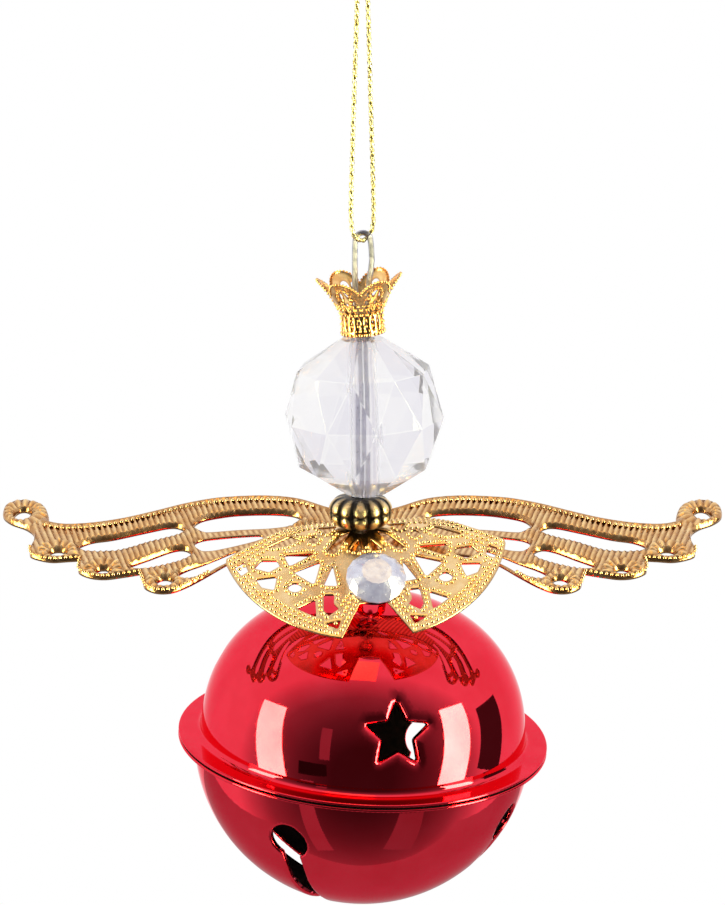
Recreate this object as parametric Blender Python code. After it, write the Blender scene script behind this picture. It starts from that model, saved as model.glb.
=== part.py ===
"""Angel bell ornament: a jingle bell hung under a wire stem that carries a crown, a faceted bead head,
a ribbed neck spacer, a filigree collar with a flat-back gem and a pair of stamped wings.

Every length is in millimetres and is scaled to metres when a mesh is made. The origin is the hang
point at the cord's knot, +Z is up, +X runs along the wings and the wearer faces -Y.
"""

import math

import bmesh
import bpy
from mathutils import Euler, Matrix, Vector
from mathutils.geometry import delaunay_2d_cdt

MM = 0.001

# Heights along the stem, below the hang point.
EYE_TOP = -36.25
CROWN_BASE = -48.95
HEAD_CENTRE = -59.3
SPACER_CENTRE = -71.6
COLLAR_HUB = -73.95
WING_HUB = -74.9
WING_PLANE = -76.0
LOWER_EYE = -77.0
LINK_CENTRE = -78.95
BELL_PIVOT = -80.65
BELL_CENTRE_DROP = 21.1

# Wire, cord and stem.
WIRE = 0.7
LEG_OFFSET = 0.45
HUB_HOLE = 1.0
EYE_RADIUS = 1.25
EYE_OFFSET = 1.25
CORD = 0.6
KNOT_WIDTH = 2.6
KNOT_HEIGHT = 2.4

# Crown.
CROWN_HEIGHT = 7.1
CROWN_BASE_RADIUS = 2.6
CROWN_RIM_RADIUS = 5.2
CROWN_WALL = 0.3
CROWN_PETALS = 6
CROWN_TILT = -4.5

# Head bead and neck spacer.
HEAD_RADIUS = 10.0
HEAD_FLAT_RADIUS = 2.7
HEAD_HALF_HEIGHT = 9.85
HEAD_SHOULDER_RADIUS = 8.3
HEAD_SHOULDER_HEIGHT = 6.1
HEAD_SIDES = 10
HEAD_TILT = -1.2
HEAD_PHASE = 9.0
HEAD_BORE = 1.5
HEAD_OFFSET = 0.2
SPACER_RADIUS = 4.0
SPACER_HALF_HEIGHT = 1.9
SPACER_LOBES = 12
SPACER_BORE = 1.25
SPACER_OFFSET = -0.25

# Collar, gem and wings.
SHEET = 0.3
COLLAR_RADIUS = 18.1
COLLAR_SLOPE = 0.49
COLLAR_BEND_AT = 1.0
COLLAR_YAW = 6.0
COLLAR_ROLL = 2.4
GEM_RADIUS = 3.7
GEM_HEIGHT = 1.9
GEM_FORWARD = 9.9
GEM_ASIDE = 0.6
WING_TILT = 11.0
WING_HUB_RADIUS = 1.5
WING_SKIRT_RADIUS = 4.0

# Bell.
BELL_TILT = 3.3
UPPER_RADIUS = 20.9
UPPER_HEIGHT = 18.5
UPPER_EXPONENT = 2.3
LOWER_RADIUS = 21.7
LOWER_HEIGHT = 21.4
BELL_WALL = 0.5
FLANGE_RADIUS = 23.75
LIP = 0.4
LIP_GAP = 0.1
NECK_HOLE = 2.3
POLE_HOLE = 0.35
STARS = 3
STAR_AZIMUTH = 11.6
STAR_LATITUDE = 22.0
STAR_OUTER = 4.3
STAR_INNER = 2.0
KEYHOLES = 4
KEYHOLE_AZIMUTH = -25.4
KEYHOLE_LATITUDE = -21.0
KEYHOLE_RADIUS = 2.5
SLOT_WIDTH = 2.4
SHANK_WIRE = 1.0
SHANK_RADIUS = 1.5
BALL_RADIUS = 4.0
BALL_GAP = 0.3


def clear_scene():
    for old in list(bpy.data.objects):
        bpy.data.objects.remove(old)


def make_material(name, colour, roughness, metallic, alpha=1.0):
    """A Principled BSDF material of one plain colour."""
    made = bpy.data.materials.new(name)
    made.use_nodes = True
    shader = made.node_tree.nodes["Principled BSDF"]
    shader.inputs["Base Color"].default_value = (*colour, 1.0)
    shader.inputs["Roughness"].default_value = roughness
    shader.inputs["Metallic"].default_value = metallic
    shader.inputs["Alpha"].default_value = alpha
    made.diffuse_color = (*colour, alpha)
    return made


def add_mesh(name, points, faces, material, parent=None, sharp=35.0):
    """An object from points in millimetres, shaded smooth below the sharp angle in degrees."""
    mesh = bpy.data.meshes.new(name)
    mesh.from_pydata([Vector(p) * MM for p in points], [], faces)
    edit = bmesh.new()
    edit.from_mesh(mesh)
    bmesh.ops.recalc_face_normals(edit, faces=edit.faces)
    edit.to_mesh(mesh)
    edit.free()
    mesh.shade_smooth()
    mesh.set_sharp_from_angle(angle=math.radians(sharp))
    made = bpy.data.objects.new(name, mesh)
    made.data.materials.append(material)
    made.parent = parent
    bpy.context.scene.collection.objects.link(made)
    return made


def add_empty(name, location, rotation=(0.0, 0.0, 0.0)):
    """An empty that places its children. Location is in millimetres, rotation in degrees."""
    made = bpy.data.objects.new(name, None)
    made.location = Vector(location) * MM
    made.rotation_euler = Euler([math.radians(a) for a in rotation])
    bpy.context.scene.collection.objects.link(made)
    return made


def smooth_run(points, per_span, closed=False):
    """Points on a Catmull-Rom curve through the given ones, per_span steps between each two."""
    given = [Vector(p) for p in points]
    count = len(given)
    spans = count if closed else count - 1
    run = []
    for i in range(spans):
        if closed:
            a, b, c, d = (given[(i + k) % count] for k in (-1, 0, 1, 2))
        else:
            b, c = given[i], given[i + 1]
            a = given[i - 1] if i else b * 2 - c
            d = given[i + 2] if i + 2 < count else c * 2 - b
        for step in range(per_span):
            t = step / per_span
            run.append(
                ((b * 2) + (c - a) * t + (a * 2 - b * 5 + c * 4 - d) * t**2
                 + (b * 3 - a - c * 3 + d) * t**3) * 0.5
            )
    return run if closed else run + [given[-1]]


def arc(centre, radius, start, end, steps):
    """Points on a circle in a plane, from one angle to another in degrees."""
    angles = [math.radians(start + (end - start) * i / steps) for i in range(steps + 1)]
    return [(centre[0] + radius * math.cos(a), centre[1] + radius * math.sin(a)) for a in angles]


def tube(name, points, diameter, material, parent=None, closed=False, sides_resolution=2):
    """A round tube along the points, as a curve with a bevel and filled caps."""
    curve = bpy.data.curves.new(name, "CURVE")
    curve.dimensions = "3D"
    curve.bevel_depth = diameter / 2 * MM
    curve.bevel_resolution = sides_resolution
    curve.use_fill_caps = True
    curve.render_resolution_u = 0
    spline = curve.splines.new("POLY")
    spline.points.add(len(points) - 1)
    for node, point in zip(spline.points, points):
        node.co = (*(Vector(point) * MM), 1.0)
    spline.use_cyclic_u = closed
    curve.materials.append(material)
    made = bpy.data.objects.new(name, curve)
    made.parent = parent
    bpy.context.scene.collection.objects.link(made)
    return made


def ring_faces(rows, columns, wrap_rows):
    """Quads of a grid of points that closes round its columns, and round its rows if asked."""
    faces = []
    for i in range(rows if wrap_rows else rows - 1):
        for j in range(columns):
            below, above = i * columns, (i + 1) % rows * columns
            k = (j + 1) % columns
            faces.append((below + j, below + k, above + k, above + j))
    return faces


def turned(name, profile, segments, material, parent=None, sharp=35.0):
    """A solid of revolution about Z from a closed profile of (radius, height), all off the axis."""
    points = []
    for radius, height in profile:
        for j in range(segments):
            angle = 2 * math.pi * j / segments
            points.append((radius * math.cos(angle), radius * math.sin(angle), height))
    faces = ring_faces(len(profile), segments, wrap_rows=True)
    return add_mesh(name, points, faces, material, parent, sharp)


def inside(point, loop):
    """Whether a point lies inside a closed loop of points in the plane."""
    found = False
    for (x1, y1), (x2, y2) in zip(loop, loop[1:] + loop[:1]):
        if (y1 > point[1]) != (y2 > point[1]):
            if point[0] < (x2 - x1) * (point[1] - y1) / (y2 - y1) + x1:
                found = not found
    return found


def plate(name, outline, holes, extra, height_at, material):
    """A thin sheet cut to an outline with holes, laid on the surface height_at(x, y).

    extra holds further points that the sheet bends at.
    """
    loops = [[tuple(p[:2]) for p in loop] for loop in [outline, *holes]]
    flat, edges = [], []
    for loop in loops:
        first = len(flat)
        flat += loop
        edges += [(first + i, first + (i + 1) % len(loop)) for i in range(len(loop))]
    flat += extra
    where, _, cells, *_ = delaunay_2d_cdt([Vector(p) for p in flat], edges, [], 1, 1e-5)
    kept = []
    for cell in cells:
        middle = sum((where[i] for i in cell), Vector((0, 0))) / len(cell)
        if inside(middle, loops[0]) and not any(inside(middle, hole) for hole in loops[1:]):
            kept.append(tuple(cell))
    used = sorted({i for cell in kept for i in cell})
    place = {old: new for new, old in enumerate(used)}
    count = len(used)
    points = []
    for side in (0.5, -0.5):
        for i in used:
            x, y = where[i]
            points.append((x, y, height_at(x, y) + side * SHEET))
    top = [tuple(place[i] for i in cell) for cell in kept]
    faces = top + [tuple(i + count for i in reversed(cell)) for cell in top]
    ways = [(a, b) for cell in top for a, b in zip(cell, cell[1:] + cell[:1])]
    seen = set(ways)
    faces += [(b, a, a + count, b + count) for a, b in ways if (b, a) not in seen]
    return add_mesh(name, points, faces, material)


def cut(target, cutter):
    """Takes a cutter away from a solid, and hides the cutter."""
    cutter.hide_render = True
    cutter.display_type = "WIRE"
    boolean = target.modifiers.new(cutter.name, "BOOLEAN")
    boolean.operation = "DIFFERENCE"
    boolean.solver = "EXACT"
    boolean.object = cutter


def prism(name, outline, low, high, material, parent=None):
    """A closed prism of a plane outline between two heights."""
    count = len(outline)
    points = [(x, y, z) for z in (low, high) for x, y in outline]
    faces = ring_faces(2, count, wrap_rows=False)
    faces += [tuple(reversed(range(count))), tuple(range(count, 2 * count))]
    return add_mesh(name, points, faces, material, parent)


def aim_out(cutter, azimuth, latitude, distance):
    """Turns a cutter so that its Z points out of the bell there and its Y stays uphill."""
    azimuth, latitude = math.radians(azimuth), math.radians(latitude)
    out = Vector((
        math.sin(azimuth) * math.cos(latitude),
        -math.cos(azimuth) * math.cos(latitude),
        math.sin(latitude),
    ))
    across = Vector((math.cos(azimuth), math.sin(azimuth), 0.0))
    uphill = out.cross(across)
    turn = Matrix((across, uphill, out)).transposed()
    cutter.matrix_local = Matrix.Translation(out * distance * MM) @ turn.to_4x4()


def softened(value, width):
    """Zero below 0 and the value itself above, with a rounded turn of that width between."""
    return width * math.log1p(math.exp(value / width)) if value < 20 * width else value


# ------------------------------------------------------------------ cord and stem

def cord_route():
    """The loop of cord: down from the knot, through the wire's eye and back up to the knot."""
    eye = EYE_TOP - WIRE / 2 - CORD / 2 - 0.2
    return [
        (-0.35, 0.0, -1.6),
        (-0.5, -0.1, -4.5),
        (-0.75, -0.2, -12.0),
        (-1.05, -0.3, -21.0),
        (-1.3, -0.45, -29.0),
        (-1.4, -0.7, -34.0),
        (-1.1, -0.9, eye + 0.8),
        (-0.45, -0.55, eye + 0.1),
        (0.1, 0.0, eye - 0.1),
        (0.6, 0.6, eye + 0.2),
        (1.15, 0.9, eye + 1.1),
        (1.35, 0.7, -34.0),
        (1.25, 0.45, -29.0),
        (1.0, 0.3, -21.0),
        (0.75, 0.2, -12.0),
        (0.5, 0.1, -4.5),
        (0.35, 0.0, -1.6),
    ]


def build_cord(material):
    tube("cord_loop", smooth_run(cord_route(), 4), CORD, material, sides_resolution=2)


def build_knot(material):
    """The overhand knot as one rounded lump with the two short tails rising from it."""
    rows, columns = 9, 14
    points = [(0.0, 0.0, -KNOT_HEIGHT / 2)]
    for i in range(1, rows):
        up = math.pi * i / rows
        for j in range(columns):
            turn = 2 * math.pi * j / columns
            swell = 1 + 0.1 * math.cos(3 * turn + 4 * up)
            points.append((
                KNOT_WIDTH / 2 * swell * math.sin(up) * math.cos(turn),
                KNOT_WIDTH / 2.6 * swell * math.sin(up) * math.sin(turn),
                -KNOT_HEIGHT / 2 * math.cos(up),
            ))
    points.append((0.0, 0.0, KNOT_HEIGHT / 2))
    faces = [
        tuple(i + 1 for i in face) for face in ring_faces(rows - 1, columns, wrap_rows=False)
    ]
    last = len(points) - 1
    for j in range(columns):
        k = (j + 1) % columns
        faces.append((0, 1 + k, 1 + j))
        faces.append((last, last - columns + j, last - columns + k))
    knot = add_mesh("cord_knot", points, faces, material)
    for side in (-1, 1):
        outline = arc((0.55 * side, 0.0), CORD / 2, 0, 315, 7)
        tail = prism(f"tail_{side}", outline, 0.0, 4.2 + 0.5 * side, material)
        tail.rotation_euler = (0.0, math.radians(14 * side), 0.0)
        tail.hide_render = True
        tail.display_type = "WIRE"
        union = knot.modifiers.new(tail.name, "BOOLEAN")
        union.operation = "UNION"
        union.solver = "EXACT"
        union.object = tail


def build_wire(material):
    """One wire: a hairpin eye on top, two legs down the stack and a round eye under the wings."""
    top_arc = [(x + 0.05, z) for x, z in arc((0.0, EYE_TOP - 0.95), 0.95, 20, 160, 6)]
    right_leg = [
        (LEG_OFFSET, WING_HUB - 0.3),
        (LEG_OFFSET, -62.0),
        (LEG_OFFSET, -47.5),
        (0.62, -45.0),
        (0.85, -42.0),
        (1.15, -39.6),
    ]
    left_leg = [(-0.93, -38.6), (-0.93, -41.5), (-0.85, -44.0), (-0.55, -46.2)]
    left_leg += [(-LEG_OFFSET, -48.5), (-LEG_OFFSET, -62.0), (-LEG_OFFSET, WING_HUB - 0.3)]
    lower_eye = [(-0.3, WING_HUB - 0.9)]
    lower_eye += arc((EYE_OFFSET, LOWER_EYE), EYE_RADIUS, 178, 470, 12)
    route = [(x, 0.0, z) for x, z in right_leg + top_arc + left_leg + lower_eye]
    tube("hanger_wire", smooth_run(route, 2), WIRE, material, sides_resolution=2)


# ------------------------------------------------------------------ crown, head and neck

def crown_wall(turn, rise):
    """Radius and height of the crown's wall: a straight cup below and a flared petal rim above."""
    petal = abs(math.cos(CROWN_PETALS * turn / 2)) ** 0.8
    height = CROWN_HEIGHT * (0.76 + 0.24 * petal) * rise
    share = max(0.0, height - 0.36 * CROWN_HEIGHT) / (0.64 * CROWN_HEIGHT)
    return CROWN_BASE_RADIUS + (CROWN_RIM_RADIUS - CROWN_BASE_RADIUS) * share**1.25, height


def build_crown(material):
    """A thin flared cup with a petalled rim, a floor with a hole for the wire, and cut-outs."""
    columns, rows = 48, 6
    base = add_empty("crown_base", (0.1, 0.0, CROWN_BASE + 0.2), (0.0, CROWN_TILT, 0.0))
    turns = [2 * math.pi * (j + 0.4) / columns for j in range(columns)]
    loops = [[(HUB_HOLE + 0.1, 0.0)] * columns]
    outer, inner = [], []
    for i in range(rows + 1):
        wall = [crown_wall(turn, i / rows) for turn in turns]
        outer.append(wall)
        inner.append([(r - CROWN_WALL, max(h, CROWN_WALL)) for r, h in wall])
    loops += outer + inner[::-1] + [[(HUB_HOLE + 0.1, CROWN_WALL)] * columns]
    points = []
    for loop in loops:
        for turn, (radius, height) in zip(turns, loop):
            points.append((radius * math.cos(turn), radius * math.sin(turn), height))
    faces = ring_faces(len(loops), columns, wrap_rows=True)
    crown = add_mesh("crown", points, faces, material, base)
    for k in range(CROWN_PETALS):
        turn = 2 * math.pi * k / CROWN_PETALS
        outline = [(0.62 * math.cos(a), 0.95 * math.sin(a)) for a in sweep(12)]
        teardrop = prism(f"petal_hole_{k}", outline, -2.5, 2.5, material, base)
        out = Vector((math.cos(turn), math.sin(turn), -0.55)).normalized()
        across = Vector((-math.sin(turn), math.cos(turn), 0.0))
        up = out.cross(across)
        place = Vector((4.1 * math.cos(turn), 4.1 * math.sin(turn), 4.9)) * MM
        basis = Matrix((across, up, out)).transposed().to_4x4()
        teardrop.matrix_local = Matrix.Translation(place) @ basis
        cut(crown, teardrop)


def sweep(steps):
    """Angles once round, in radians."""
    return [2 * math.pi * i / steps for i in range(steps)]


def build_head(material):
    """A round faceted bead: a flat and a row of wide facets at each end, triangles round the middle."""
    rings = [
        (HEAD_BORE, HEAD_HALF_HEIGHT, 0.0),
        (HEAD_FLAT_RADIUS, HEAD_HALF_HEIGHT, 0.0),
        (HEAD_SHOULDER_RADIUS, HEAD_SHOULDER_HEIGHT, 0.0),
        (HEAD_RADIUS, 0.0, 0.5),
        (HEAD_SHOULDER_RADIUS, -HEAD_SHOULDER_HEIGHT, 0.0),
        (HEAD_FLAT_RADIUS, -HEAD_HALF_HEIGHT, 0.0),
        (HEAD_BORE, -HEAD_HALF_HEIGHT, 0.0),
    ]
    points = []
    for radius, height, shift in rings:
        for j in range(HEAD_SIDES):
            turn = 2 * math.pi * (j + shift) / HEAD_SIDES
            points.append((radius * math.cos(turn), radius * math.sin(turn), height))
    faces = []
    for a, b, c, d in ring_faces(len(rings), HEAD_SIDES, wrap_rows=True):
        level = a // HEAD_SIDES
        if level == 2:
            faces += [(a, b, d), (b, c, d)]
        elif level == 3:
            faces += [(a, b, c), (a, c, d)]
        else:
            faces.append((a, b, c, d))
    centre = add_empty("head_axis", (HEAD_OFFSET, 0.0, HEAD_CENTRE), (0.0, HEAD_TILT, HEAD_PHASE))
    add_mesh("head_bead", points, faces, material, centre, sharp=5.0)


def build_spacer(material):
    """A squat ribbed bead: a rounded profile whose radius swells at each lobe."""
    columns = 4 * SPACER_LOBES
    half = [(-1.0, 0.58), (-0.7, 0.86), (-0.25, 0.97)]
    bulge = half + [(0.0, 1.0)] + [(-height, share) for height, share in reversed(half)]
    points = []
    for height, share in bulge:
        for j in range(columns):
            turn = 2 * math.pi * j / columns
            radius = SPACER_RADIUS * share * (0.96 + 0.04 * math.cos(SPACER_LOBES * turn))
            points.append((radius * math.cos(turn), radius * math.sin(turn), height * SPACER_HALF_HEIGHT))
    for height in (SPACER_HALF_HEIGHT, -SPACER_HALF_HEIGHT):
        for j in range(columns):
            turn = 2 * math.pi * j / columns
            points.append((SPACER_BORE * math.cos(turn), SPACER_BORE * math.sin(turn), height))
    centre = add_empty("neck_axis", (SPACER_OFFSET, 0.0, SPACER_CENTRE))
    faces = ring_faces(len(bulge) + 2, columns, wrap_rows=True)
    add_mesh("neck_spacer", points, faces, material, centre)


# ------------------------------------------------------------------ collar and gem

def collar_height(x, y):
    """The collar's surface: level at the hub, then sloping down towards its front."""
    yaw = math.radians(COLLAR_YAW)
    forward = x * math.sin(yaw) - y * math.cos(yaw)
    roll = math.tan(math.radians(COLLAR_ROLL)) * x * min(1.0, math.hypot(x, y) / 8)
    return COLLAR_HUB - COLLAR_SLOPE * softened(forward - COLLAR_BEND_AT, 0.4) + roll


def collar_point(forward, aside):
    """Plan place of a point given ahead of the hub and to its side."""
    yaw = math.radians(COLLAR_YAW)
    return (
        forward * math.sin(yaw) + aside * math.cos(yaw),
        aside * math.sin(yaw) - forward * math.cos(yaw),
    )


def collar_half():
    """One leaf's edge, as (forward, aside) from the front notch round to the back of the hub."""
    inner = [(12.4, 0.0), (12.6, 1.7), (17.6, 4.3)]
    rim = arc((0.0, 0.0), COLLAR_RADIUS, 15, 75, 16)
    top = [(4.1, 17.4), (2.7, 15.3), (1.2, 12.8), (-0.9, 10.3), (-2.4, 8.1), (-2.75, 6.0), (-2.8, 4.0)]
    back = [(-3.0, 2.4), (-3.2, 1.2)]
    return inner + rim + smooth_run(top, 2) + back


COLLAR_TRIANGLES = [
    [(-1.0, 5.5), (-1.1, 3.2), (1.1, 4.7)],
    [(2.9, 12.3), (1.1, 9.0), (1.6, 8.1), (2.5, 10.1)],
    [(0.9, 1.9), (1.6, 2.7), (4.2, 4.8), (4.3, 4.1), (2.7, 2.9)],
    [(4.2, 6.5), (4.3, 10.2), (5.8, 9.7)],
    [(5.8, 13.9), (4.9, 13.1), (5.1, 11.2), (5.7, 11.0), (6.5, 12.3)],
    [(7.6, 11.5), (7.8, 13.9), (8.9, 13.2), (9.4, 12.0)],
    [(5.5, 16.3), (4.9, 15.3), (6.3, 15.0), (6.8, 15.6)],
    [(5.7, 5.9), (7.0, 9.2), (9.0, 7.0)],
    [(6.5, 4.4), (9.4, 5.6), (9.6, 4.3)],
    [(11.0, 4.8), (10.9, 5.7), (13.3, 5.9), (14.0, 5.6), (13.1, 4.4), (12.3, 5.0)],
    [(11.6, 7.1), (12.7, 9.2), (14.1, 7.2)],
    [(15.1, 4.2), (15.4, 6.2), (16.1, 4.7)],
    [(2.6, 0.8), (4.1, 1.9), (4.3, 0.7)],
]
COLLAR_OVALS = [((1.95, 6.4), 0.6, 0.55), ((9.4, 9.3), 0.75, 0.85)]


def oval(centre, along, aside, steps=10):
    return [(centre[0] + along * math.cos(a), centre[1] + aside * math.sin(a)) for a in sweep(steps)]


def build_collar(material):
    """Two leaves joined at the hub, with the same cut-outs in each."""
    half = collar_half()
    outline = [(f, a) for f, a in half] + [(f, -a) for f, a in reversed(half[1:])]
    cuts = COLLAR_TRIANGLES + [oval(*shape) for shape in COLLAR_OVALS]
    holes = [[(f, side * a) for f, a in shape] for side in (1, -1) for shape in cuts]
    bend = [(COLLAR_BEND_AT + 1.6, 0.05 * side) for side in (1, -1)]
    placed = [[collar_point(f, a) for f, a in loop] for loop in [outline, *holes]]
    hub = arc((0.0, 0.0), HUB_HOLE, 0, 345, 23)
    extra = [collar_point(f, a) for f, a in bend] + arc((0.0, 0.0), 2.1, 0, 345, 23)
    extra = [p for p in extra if not any(inside(p, hole) for hole in placed[1:])]
    plate("collar", placed[0], [hub, *placed[1:]], extra, collar_height, material)


def build_gem(material):
    """A flat-back round stone: girdle, a ring of slanted facets and a table, lying on the collar."""
    x, y = collar_point(GEM_FORWARD, GEM_ASIDE)
    seat = add_empty("gem_seat", (x, y, collar_height(x, y) + SHEET / 2 + 0.25))
    seat.rotation_euler = Euler((math.atan(COLLAR_SLOPE), 0.0, math.radians(COLLAR_YAW)), "XYZ")
    sides = 16
    rings = [(GEM_RADIUS, 0.0), (GEM_RADIUS, 0.45), (0.72 * GEM_RADIUS, 0.8 * GEM_HEIGHT),
             (0.42 * GEM_RADIUS, GEM_HEIGHT)]
    points = [(r * math.cos(a), r * math.sin(a), z) for r, z in rings for a in sweep(sides)]
    faces = ring_faces(len(rings), sides, wrap_rows=False)
    faces += [tuple(reversed(range(sides))), tuple(range(len(points) - sides, len(points)))]
    add_mesh("gem", points, faces, material, seat, sharp=5.0)


# ------------------------------------------------------------------ wings

WING_EDGE = [
    [(0.0, 6.5), (2.2, 6.9), (4.4, 7.9), (7.6, 10.0), (10.4, 10.9), (13.5, 11.15), (16.7, 10.9),
     (19.6, 10.35), (23.2, 8.9), (27.0, 6.8), (30.8, 4.9), (34.6, 3.7), (38.0, 3.4), (40.3, 4.2)],
    [(40.3, 4.2), (40.35, 6.6), (41.3, 9.4), (43.2, 10.8), (45.1, 10.8), (46.4, 9.4), (46.3, 7.1),
     (45.0, 5.3), (43.0, 3.9), (41.8, 2.3), (41.6, 0.4), (41.8, -1.6)],
    [(41.8, -1.6), (41.5, -3.2), (40.2, -4.1), (38.6, -4.6), (36.8, -4.4), (35.2, -4.2)],
    [(35.2, -4.2), (35.2, -6.2), (34.9, -7.5), (33.4, -8.6), (31.6, -8.9), (29.6, -8.4), (27.5, -7.7)],
    [(27.5, -7.7), (27.0, -9.4), (26.5, -11.2), (25.0, -12.3), (23.2, -12.2), (21.6, -11.0),
     (20.2, -9.5), (18.8, -7.8), (17.3, -5.9), (15.5, -4.0), (12.0, -2.9), (8.0, -2.9),
     (4.0, -3.2), (0.0, -3.4)],
]
WING_WINDOWS = [
    [(35.3, -1.2), (34.0, 0.0), (31.4, 0.8), (27.6, 2.6), (24.6, 3.9), (23.3, 3.5), (23.3, 2.3),
     (24.6, 1.3), (27.4, -0.2), (30.4, -2.1), (33.0, -2.5), (34.8, -2.2)],
    [(21.2, 4.4), (20.4, 5.8), (18.2, 6.8), (15.8, 7.4), (12.0, 7.6), (9.3, 7.2), (8.2, 6.2),
     (9.2, 5.1), (11.9, 4.3), (15.7, 3.9), (19.4, 3.3), (20.8, 3.5)],
    [(28.6, -6.3), (26.1, -4.2), (24.0, -2.5), (22.6, -2.0), (21.8, -2.9), (22.3, -4.3),
     (24.1, -5.6), (27.0, -6.8)],
    [(20.8, -0.2), (20.0, 0.6), (18.2, 1.1), (15.5, 1.6), (12.9, 1.8), (13.6, 1.0), (15.2, 0.1),
     (17.0, -0.8), (19.0, -1.6), (20.3, -1.5)],
    [(22.3, -8.2), (21.3, -7.0), (19.7, -5.8), (17.6, -4.0), (15.8, -2.4), (15.1, -2.4),
     (16.0, -3.6), (17.9, -5.5), (19.3, -7.2), (20.7, -8.8), (21.8, -9.2)],
]
WING_HOLES = [((43.8, 7.1), 0.7, 1.05), ((38.1, -3.05), 0.72, 0.68), ((32.0, -7.6), 0.62, 0.6),
              ((24.2, -10.3), 0.68, 0.8)]


def wing_height(x, y):
    """The wings' surface: a plane rising to the rear, pressed up to a level boss at the hub."""
    radius = math.hypot(x, y)
    plane = WING_PLANE + math.tan(math.radians(WING_TILT)) * y
    share = min(1.0, max(0.0, (WING_SKIRT_RADIUS - radius) / (WING_SKIRT_RADIUS - WING_HUB_RADIUS)))
    blend = share * share * (3 - 2 * share)
    return plane * (1 - blend) + WING_HUB * blend


def build_wings(material):
    """Both wings as one stamped sheet, mirrored about the stem."""
    half = []
    for run in WING_EDGE:
        half += smooth_run(run, 2)[:-1]
    half.append(Vector(WING_EDGE[-1][-1]))
    right = [tuple(p) for p in half]
    outline = right + [(-x, y) for x, y in reversed(right[1:-1])]
    cuts = [[tuple(p) for p in smooth_run(loop, 2, closed=True)] for loop in WING_WINDOWS]
    cuts += [oval(*shape) for shape in WING_HOLES]
    holes = [[(side * x, y) for x, y in loop] for side in (1, -1) for loop in cuts]
    hub = arc((0.0, 0.0), HUB_HOLE, 0, 337.5, 15)
    extra = []
    for radius in (WING_HUB_RADIUS, 2.2, 3.0):
        extra += arc((0.0, 0.0), radius, 0, 337.5, 15)
    plate("wing_plate", outline, [hub, *holes], extra, wing_height, material)


# ------------------------------------------------------------------ bell

def dome(radius, height, exponent, inset, start, end, steps):
    """Points (radius, height) on a rounded dome between two angles from its crown, in degrees."""
    run = []
    for i in range(steps + 1):
        angle = math.radians(start + (end - start) * i / steps)
        across, up = math.sin(angle), math.cos(angle)
        reach = ((across / (radius - inset)) ** exponent
                 + (abs(up) / (height - inset)) ** exponent) ** (-1 / exponent)
        run.append((reach * across, reach * up))
    return run


def upper_profile():
    """The upper shell: dome outside, a lip round its rim, and the same dome inset inside."""
    neck = math.degrees(math.atan2(NECK_HOLE, UPPER_HEIGHT))
    neck_in = math.degrees(math.atan2(NECK_HOLE, UPPER_HEIGHT - BELL_WALL))
    outside = dome(UPPER_RADIUS, UPPER_HEIGHT, UPPER_EXPONENT, 0.0, neck, 85.0, 13)
    inside_run = dome(UPPER_RADIUS, UPPER_HEIGHT, UPPER_EXPONENT, BELL_WALL, neck_in, 84.0, 10)
    low, high = LIP_GAP, LIP_GAP + LIP
    lip = [(UPPER_RADIUS + 0.4, high + 0.45), (UPPER_RADIUS + 1.0, high), (FLANGE_RADIUS - 0.15, high),
           (FLANGE_RADIUS, (low + high) / 2), (FLANGE_RADIUS - 0.15, low), (UPPER_RADIUS - 0.2, low)]
    return outside + lip + inside_run[::-1]


def lower_profile():
    """The lower shell: a lip, a round bowl outside and the same bowl inset inside."""
    pole = math.degrees(math.atan2(POLE_HOLE, LOWER_HEIGHT))
    outside = dome(LOWER_RADIUS, LOWER_HEIGHT, 2.0, 0.0, 84.5, pole, 15)
    inside_run = dome(LOWER_RADIUS, LOWER_HEIGHT, 2.0, BELL_WALL, pole, 84.5, 12)
    low, high = LIP_GAP, LIP_GAP + LIP
    lip = [(LOWER_RADIUS - 0.7, low), (FLANGE_RADIUS - 0.15, low), (FLANGE_RADIUS, (low + high) / 2),
           (FLANGE_RADIUS - 0.15, high), (LOWER_RADIUS + 0.6, high), (LOWER_RADIUS + 0.1, high + 0.45)]
    return [(r, -z) for r, z in lip + outside + inside_run]


def star_outline():
    """Ten points of a five-pointed star, one tip up."""
    points = []
    for i in range(10):
        angle = math.radians(90 + 36 * i)
        radius = STAR_INNER if i % 2 else STAR_OUTER
        points.append((radius * math.cos(angle), radius * math.sin(angle)))
    return points


def build_bell_shells(lacquer, centre):
    segments = 44
    upper = turned("bell_upper_shell", upper_profile(), segments, lacquer, centre)
    lower = turned("bell_lower_shell", lower_profile(), segments, lacquer, centre)
    for k in range(STARS):
        star = prism(f"star_cutter_{k}", star_outline(), -4.0, 4.0, lacquer, centre)
        aim_out(star, STAR_AZIMUTH + 360 / STARS * k, STAR_LATITUDE, UPPER_RADIUS)
        cut(upper, star)
    for k in range(KEYHOLES):
        azimuth = KEYHOLE_AZIMUTH + 360 / KEYHOLES * k
        round_end = prism(f"keyhole_cutter_{k}", oval((0, 0), KEYHOLE_RADIUS, KEYHOLE_RADIUS, 16),
                          -4.0, 4.0, lacquer, centre)
        aim_out(round_end, azimuth, KEYHOLE_LATITUDE, LOWER_RADIUS)
        cut(lower, round_end)
    reach = LOWER_RADIUS * math.cos(math.radians(KEYHOLE_LATITUDE))
    start = LOWER_HEIGHT * math.sin(math.radians(KEYHOLE_LATITUDE))
    half = SLOT_WIDTH / 2
    for k in range(KEYHOLES // 2):
        bar = [(-half, -reach), (half, -reach), (half, reach), (-half, reach)]
        slot = prism(f"slot_cutter_{k}", bar, -LOWER_HEIGHT - 3.0, start, lacquer, centre)
        slot.rotation_euler = (0.0, 0.0, math.radians(KEYHOLE_AZIMUTH + 90 * k))
        cut(lower, slot)


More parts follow.
